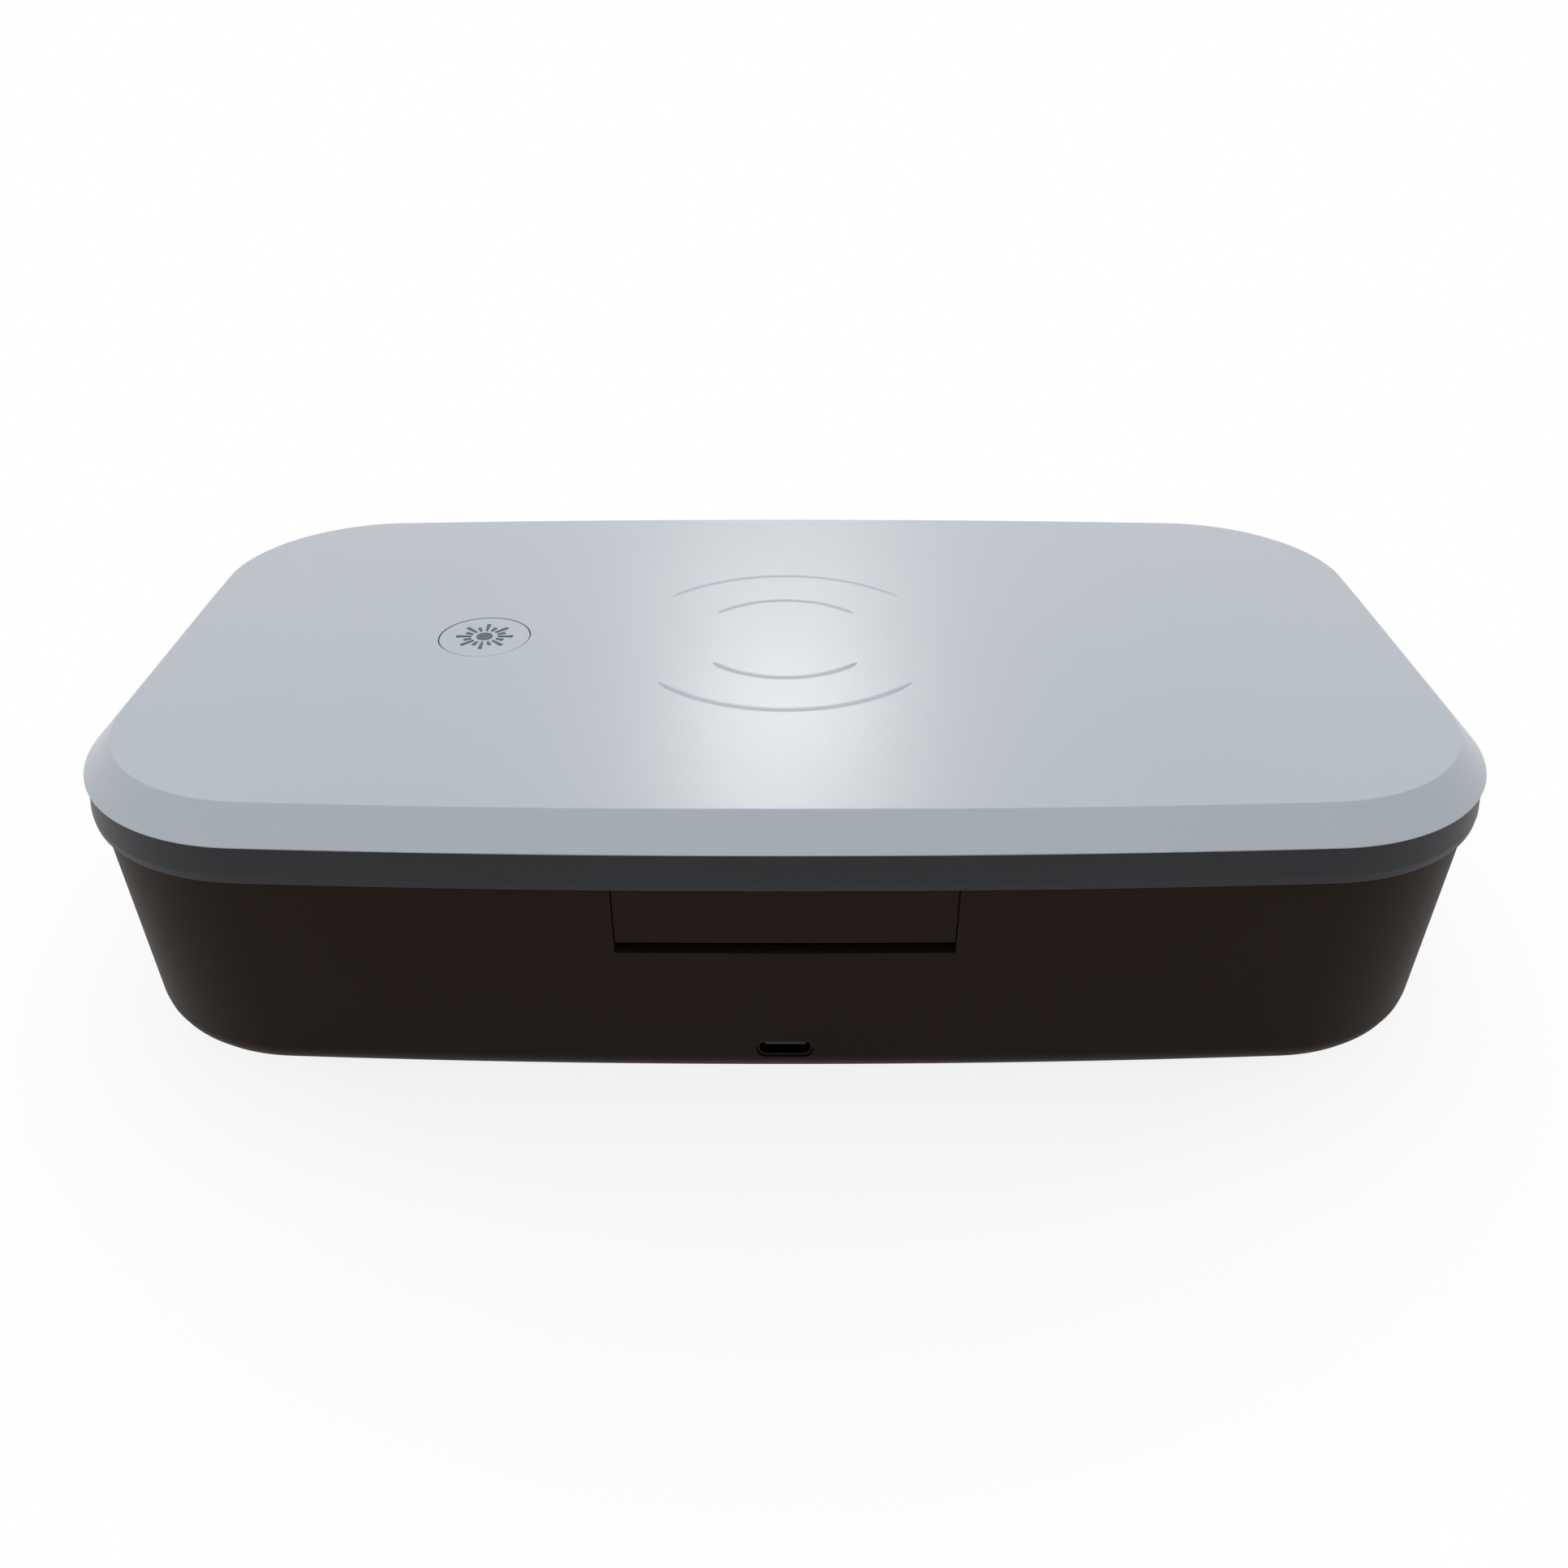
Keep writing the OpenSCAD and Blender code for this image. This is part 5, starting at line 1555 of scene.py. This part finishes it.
@dataclass
class Lamp(Assembly):
    """A glass tube with a coiled filament near each end."""

    node: str
    body: str
    glass_t: float = 0.45
    edge_r: float = 0.1
    coil_r: float = 0.5
    coil_length: float = 5.0
    wire_r: float = 0.11
    turns: float = 14.0
    cap_x: float = 68.0

    def build(self) -> None:
        """Makes the tube and its filaments."""
        shop, length = self.shop, self.coil_length
        low, high = (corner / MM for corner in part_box(self.node))
        middle, radius = (low + high) / 2, (high.z - low.z) / 2
        inner = radius - self.glass_t
        loop = ((inner, low.x), (radius, low.x), (radius, high.x), (inner, high.x))
        profile = rounded([(*corner, self.edge_r) for corner in loop], closed=True)
        tube = shop.lathe(self.node + "_glass", profile + profile[:1], steps=64)
        lay = Matrix.Translation((0.0, middle.y, middle.z)) @ Matrix.Rotation(math.pi / 2, 4, "Y")
        tube.data.transform(lay)
        shop.settle(tube, self.body, Slot.LAMP_GLASS, [self.node])
        for name, start in (("left", -self.cap_x), ("right", self.cap_x - length)):
            radii = (self.coil_r, self.coil_r)
            title = f"{self.node}_filament_{name}"
            coil = shop.wind(title, self.turns, radii, length, self.wire_r, 16, 6)
            coil.data.transform(lay @ Matrix.Translation((0.0, 0.0, start)))
            shop.settle(coil, self.body, Slot.STEEL, [])


@dataclass
class ScrewSet(Assembly):
    """Screws with a cross recess and a thread, where the frame has its plain ones."""

    node: str
    body: str
    head_up: bool
    head_r: float
    head_h: float
    shaft_r: float
    pitch: float = 0.6
    dome: float = 0.35
    neck: float = 0.95
    thread_root: float = 0.86
    point: float = 0.45
    lead_in: float = 0.4
    lead_out: float = 0.6
    cross: Point = (0.55, 0.13)

    def template(self, low: float, high: float) -> bpy.types.Object:
        """One screw on the Z axis between two heights, its head at the lower one."""
        seat, root = low + self.head_h, self.shaft_r * self.thread_root
        corners = [
            (0.0, low, 0.0),
            (self.head_r, low, self.head_h * self.dome),
            (self.head_r, seat, 0.05),
            (self.shaft_r * self.neck, seat, 0.0),
        ]
        height = seat + self.lead_in
        while height + self.pitch < high - self.lead_out:
            corners += [(root, height, 0.0), (self.shaft_r, height + self.pitch / 2, 0.0)]
            height += self.pitch
        corners += [(root, height, 0.0), (self.shaft_r * self.point, high, 0.0), (0.0, high, 0.0)]
        screw = self.shop.lathe("screw", rounded(corners, closed=False), steps=32)
        arm, half = (self.head_r * share for share in self.cross)
        deep = low + self.head_h * 0.55
        bars = [rectangle((-arm, -half), (arm, half)), rectangle((-half, -arm), (half, arm))]
        cuts = [
            (Join.CUT, self.shop.prisms("recess", [bar], low - self.at.past, deep)) for bar in bars
        ]
        self.shop.combine(screw, cuts)
        return screw

    def build(self) -> None:
        """Makes the screws."""
        source = bpy.data.objects[self.node]
        low, high = (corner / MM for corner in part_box(self.node))
        screw = self.template(low.z, high.z)
        if self.head_up:
            lift = Matrix.Translation((0.0, 0.0, (low.z + high.z) / 2))
            screw.data.transform(lift @ Matrix.Rotation(math.pi, 4, "X") @ lift.inverted())
        name, places = self.node + "_set", islands(source)
        made = self.shop.repeat(name, screw, places, turn=math.tau, seed=11)
        self.shop.settle(made, self.body, Slot.STEEL, [self.node])


def islands(source: bpy.types.Object) -> list[Point]:
    """The middles of the separate bodies of a mesh seen from above, in millimetres."""
    form = bmesh.new()
    form.from_mesh(source.data)
    form.transform(source.matrix_world)
    bmesh.ops.remove_doubles(form, verts=form.verts, dist=0.001 * MM)
    waiting = set(form.verts)
    middles = []
    while waiting:
        body, front = set(), [waiting.pop()]
        while front:
            vert = front.pop()
            body.add(vert)
            near = {edge.other_vert(vert) for edge in vert.link_edges} & waiting
            waiting -= near
            front += near
        xs, ys = [vert.co.x for vert in body], [vert.co.y for vert in body]
        middles.append(((min(xs) + max(xs)) / 2 / MM, (min(ys) + max(ys)) / 2 / MM))
    form.free()
    return sorted(middles)


EASE_RADII = {
    0.3: ("lamp_inverter",),
    0.25: ("inner_tray", "phone_rails", "lid_bumpers"),
    0.2: ("lid_panel",),
    0.15: (
        "base_lamp_caps",
        "lid_lamp_caps",
        "base_lamp_holders",
        "lid_lamp_holders",
        "base_magnets",
        "lid_magnets",
    ),
    0.12: (
        "port_shell",
        "base_lamp_window",
        "lid_lamp_window",
        "lid_sensor",
        "button_switch",
        "switch_plunger",
        "ferrite_sheet",
        "hinge_pins",
    ),
    0.1: ("board_parts", "port_tongue"),
    0.08: ("charger_parts",),
    0.06: ("main_board", "charger_board"),
    0.0: ("base_wires", "lid_wires", "hinge_cables"),
}


@dataclass
class SoftEdges(Assembly):
    """A frame node taken over as it is, with its sharp edges eased as moulds leave them."""

    node: str
    body: str
    slot: Slot
    radius: float
    merge: float = 0.002
    flat_angle: float = 1.0
    edge_angle: float = 50.0

    def build(self) -> None:
        """Makes the piece; a radius of 0 keeps the edges and only shades the round parts smooth."""
        mesh = bpy.data.objects[self.node].data.copy()
        mesh.transform(Matrix.Scale(1 / MM, 4))
        piece = mesh_object(self.node + "_eased", mesh)
        form = bmesh.new()
        form.from_mesh(mesh)
        bmesh.ops.remove_doubles(form, verts=form.verts, dist=self.merge)
        bmesh.ops.dissolve_limit(
            form,
            angle_limit=math.radians(self.flat_angle),
            use_dissolve_boundaries=False,
            verts=form.verts,
            edges=form.edges,
            delimit=set(),
        )
        form.to_mesh(mesh)
        form.free()
        if self.radius > 0:
            bevel = piece.modifiers.new("eased_edges", "BEVEL")
            bevel.width = self.radius
            bevel.segments = 2
            bevel.limit_method = "ANGLE"
            bevel.angle_limit = math.radians(self.edge_angle)
            bevel.use_clamp_overlap = True
            swap_mesh(piece, baked_mesh(piece))
        self.shop.settle(piece, self.body, self.slot, [self.node])


# The studio


def seen_directly(wiring: Wiring) -> Signal:
    """1 for what the camera sees, also in a mirror or through glass; 0 for light on things."""
    outputs = ("Is Camera Ray", "Is Glossy Ray", "Is Transmission Ray")
    camera, gloss, through = (wiring.add("ShaderNodeLightPath", output=name) for name in outputs)
    return (camera + gloss + through).at_most(1)


@dataclass(frozen=True)
class SoftLamp:
    """A soft rectangular lamp, in metres and watts."""

    name: str
    place: Spot
    size: Point
    watts: float
    target: Spot
    tint: Spot = (1.0, 1.0, 1.0)

    def hang(self) -> None:
        """Puts the lamp into the scene, facing its target."""
        data = bpy.data.lights.new(self.name, "AREA")
        data.shape = "RECTANGLE"
        data.size, data.size_y = self.size
        data.energy = self.watts
        data.color = self.tint
        lamp = bpy.data.objects.new(self.name, data)
        lamp.location = self.place
        lamp.rotation_mode = "QUATERNION"
        facing = Vector(self.target) - Vector(self.place)
        lamp.rotation_quaternion = facing.to_track_quat("-Z", "Y")
        bpy.context.scene.collection.objects.link(lamp)


WARM = (1.0, 0.97, 0.88)
LAMPS = (
    SoftLamp(
        "over_lamp", place=(0.0, 0.15, 0.95), size=(0.9, 0.7), watts=4.0, target=(0.0, 0.0, 0.0)
    ),
    SoftLamp(
        "back_lamp",
        place=(0.0, 0.85, 0.57),
        size=(0.15, 0.13),
        watts=0.85,
        target=(0.0, -0.03, 0.05),
        tint=WARM,
    ),
    SoftLamp(
        "front_lamp",
        place=(-0.45, -0.9, 0.5),
        size=(0.7, 0.5),
        watts=0.95,
        target=(0.0, 0.0, 0.02),
        tint=WARM,
    ),
)


@dataclass
class Studio:
    """The camera, floor and background round the box, in pixels of the photograph and metres."""

    focal_px: float = 1840.67
    frame_px: float = 1932.0
    middle_px: float = 967.3
    pitch_deg: float = 30.72
    camera_back: float = 245.5 * MM
    camera_up: float = 166.2 * MM
    near_clip: float = 0.01
    sensor: float = 36.0
    pale: Colour = (0.89, 0.93, 1.0, 1.0)
    pale_level: float = 0.41
    white: Colour = (1.0, 1.0, 1.0, 1.0)
    floor_colour: Colour = (0.9, 0.9, 0.9, 1.0)
    floor_half: float = 6.0
    floor_drop: float = 0.02 * MM
    fade_start: float = 0.09
    fade_length: float = 0.07
    near_glow: float = 0.85
    glow_gain: float = 0.15

    def aim(self) -> None:
        """Puts the camera where the photograph was taken from."""
        data = bpy.data.cameras.new("camera")
        data.sensor_width = self.sensor
        data.lens = self.focal_px * self.sensor / self.frame_px
        data.shift_x = (self.frame_px / 2 - self.middle_px) / self.frame_px
        data.clip_start = self.near_clip
        camera = bpy.data.objects.new("camera", data)
        camera.location = (0.0, -self.camera_back, self.camera_up)
        camera.rotation_euler = (math.radians(90 - self.pitch_deg), 0.0, 0.0)
        bpy.context.scene.collection.objects.link(camera)
        bpy.context.scene.camera = camera

    def light(self) -> None:
        """Lights the box from above and behind, and sets the world to a plain pale level."""
        for lamp in LAMPS:
            lamp.hang()
        world = bpy.data.worlds.new("world")
        bpy.context.scene.world = world
        world.use_nodes = True
        world.node_tree.nodes.clear()
        wiring = Wiring(world.node_tree)
        pale = {"Color": self.pale, "Strength": self.pale_level}
        shade = wiring.add("ShaderNodeBackground", inputs=pale)
        white = wiring.add("ShaderNodeBackground", inputs={"Color": self.white})
        seen = seen_directly(wiring)
        mixed = wiring.add("ShaderNodeMixShader", inputs={0: seen, 1: shade, 2: white})
        end_tree(world.node_tree, "ShaderNodeOutputWorld", mixed)

    def lay_floor(self) -> None:
        """Lays the pale floor, which keeps the shadow near the box and is white farther off."""
        half, low = self.floor_half, -self.floor_drop
        mesh = bpy.data.meshes.new("floor")
        corners = [(-half, -half, low), (half, -half, low), (half, half, low), (-half, half, low)]
        mesh.from_pydata(corners, [], [(0, 1, 2, 3)])
        floor = mesh_object("floor", mesh)
        paint = Paint("floor_white")
        matt = {"Base Color": self.floor_colour, "Roughness": 0.9, "Specular IOR Level": 0.0}
        paint.feed(matt)
        away = paint.add(
            "ShaderNodeVectorMath", {"operation": "LENGTH"}, {0: paint.place()}, output="Value"
        )
        fade = ((away - self.fade_start) / self.fade_length).clamped()
        glow = paint.add("ShaderNodeEmission")
        seen = seen_directly(paint) * (fade * self.glow_gain + self.near_glow)
        lit = Signal(paint.tree, paint.shader.outputs[0])
        mixed = paint.add("ShaderNodeMixShader", inputs={0: seen, 1: lit, 2: glow})
        paint.tree.links.new(mixed.socket, paint.output.inputs["Surface"])
        mesh.materials.append(paint.material)


# The whole box


class Box:
    """The whole box: finishes on the carried-over pieces, and the rebuilt ones in their place."""

    def __init__(self, frame: Mapping[str, Any]) -> None:
        """Keeps the frame and makes every finish and node tree once."""
        self.nodes = frame["nodes"]
        self.record = frame["record"]
        self.materials = {slot: finish.build(slot.value) for slot, finish in FINISHES.items()}
        self.shop = Workshop(self.materials)
        self.slots = {
            part["node"]: Slot(part["material_slot"]) for part in self.record["subparts"]
        }

    def dress(self) -> None:
        """Gives each carried-over node the finish of its slot."""
        for node, slot in self.slots.items():
            mesh = self.nodes[node].data
            mesh.materials.clear()
            mesh.materials.append(self.materials[slot])
            LOG.info("dressed %s as %s", node, slot.value)

    def rebuild(self) -> None:
        """Makes the pieces whose edges and details are finer than the frame's."""
        shop = self.shop
        small = {"head_r": 1.8, "shaft_r": 0.9}
        tray = {"head_r": 2.6, "head_h": 1.6, "shaft_r": 1.4, "pitch": 0.9}
        assemblies = [
            BaseShell(shop),
            LidCover(shop),
            LidFrame(shop),
            HingeLeaf(shop),
            PowerButton(shop),
            ChargingCoil(shop),
            Lamp(shop, "base_lamp_tube", "base"),
            Lamp(shop, "lid_lamp_tube", "lid"),
            ScrewSet(shop, "lid_screws", "lid", head_up=False, head_h=0.6, **small),
            ScrewSet(shop, "tray_screws", "base", head_up=False, **tray),
            ScrewSet(shop, "charger_screws", "lid", head_up=False, head_h=0.8, **small),
            ScrewSet(shop, "board_screws", "base", head_up=True, head_h=1.1, **small),
            ScrewSet(shop, "leaf_screws", "lid", head_up=True, head_h=1.1, **small),
            *self.eased(),
        ]
        for assembly in assemblies:
            assembly.build()

    def eased(self) -> list[SoftEdges]:
        """The nodes that no rebuilt piece stands for, each with its edges to ease."""
        radii = {node: radius for radius, nodes in EASE_RADII.items() for node in nodes}
        return [
            SoftEdges(self.shop, node, body, self.slots[node], radii[node])
            for body, members in self.record["behaviour"]["bodies"].items()
            for node in members
            if node in radii
        ]


def main() -> None:
    """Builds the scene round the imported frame."""
    logging.basicConfig(level=logging.INFO, format="%(name)s: %(message)s")
    bpy.context.scene.view_settings.view_transform = "Standard"
    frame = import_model()
    studio = Studio()
    studio.aim()
    studio.light()
    studio.lay_floor()
    box = Box(frame)
    box.dress()
    box.rebuild()


if __name__ == "__main__":
    main()
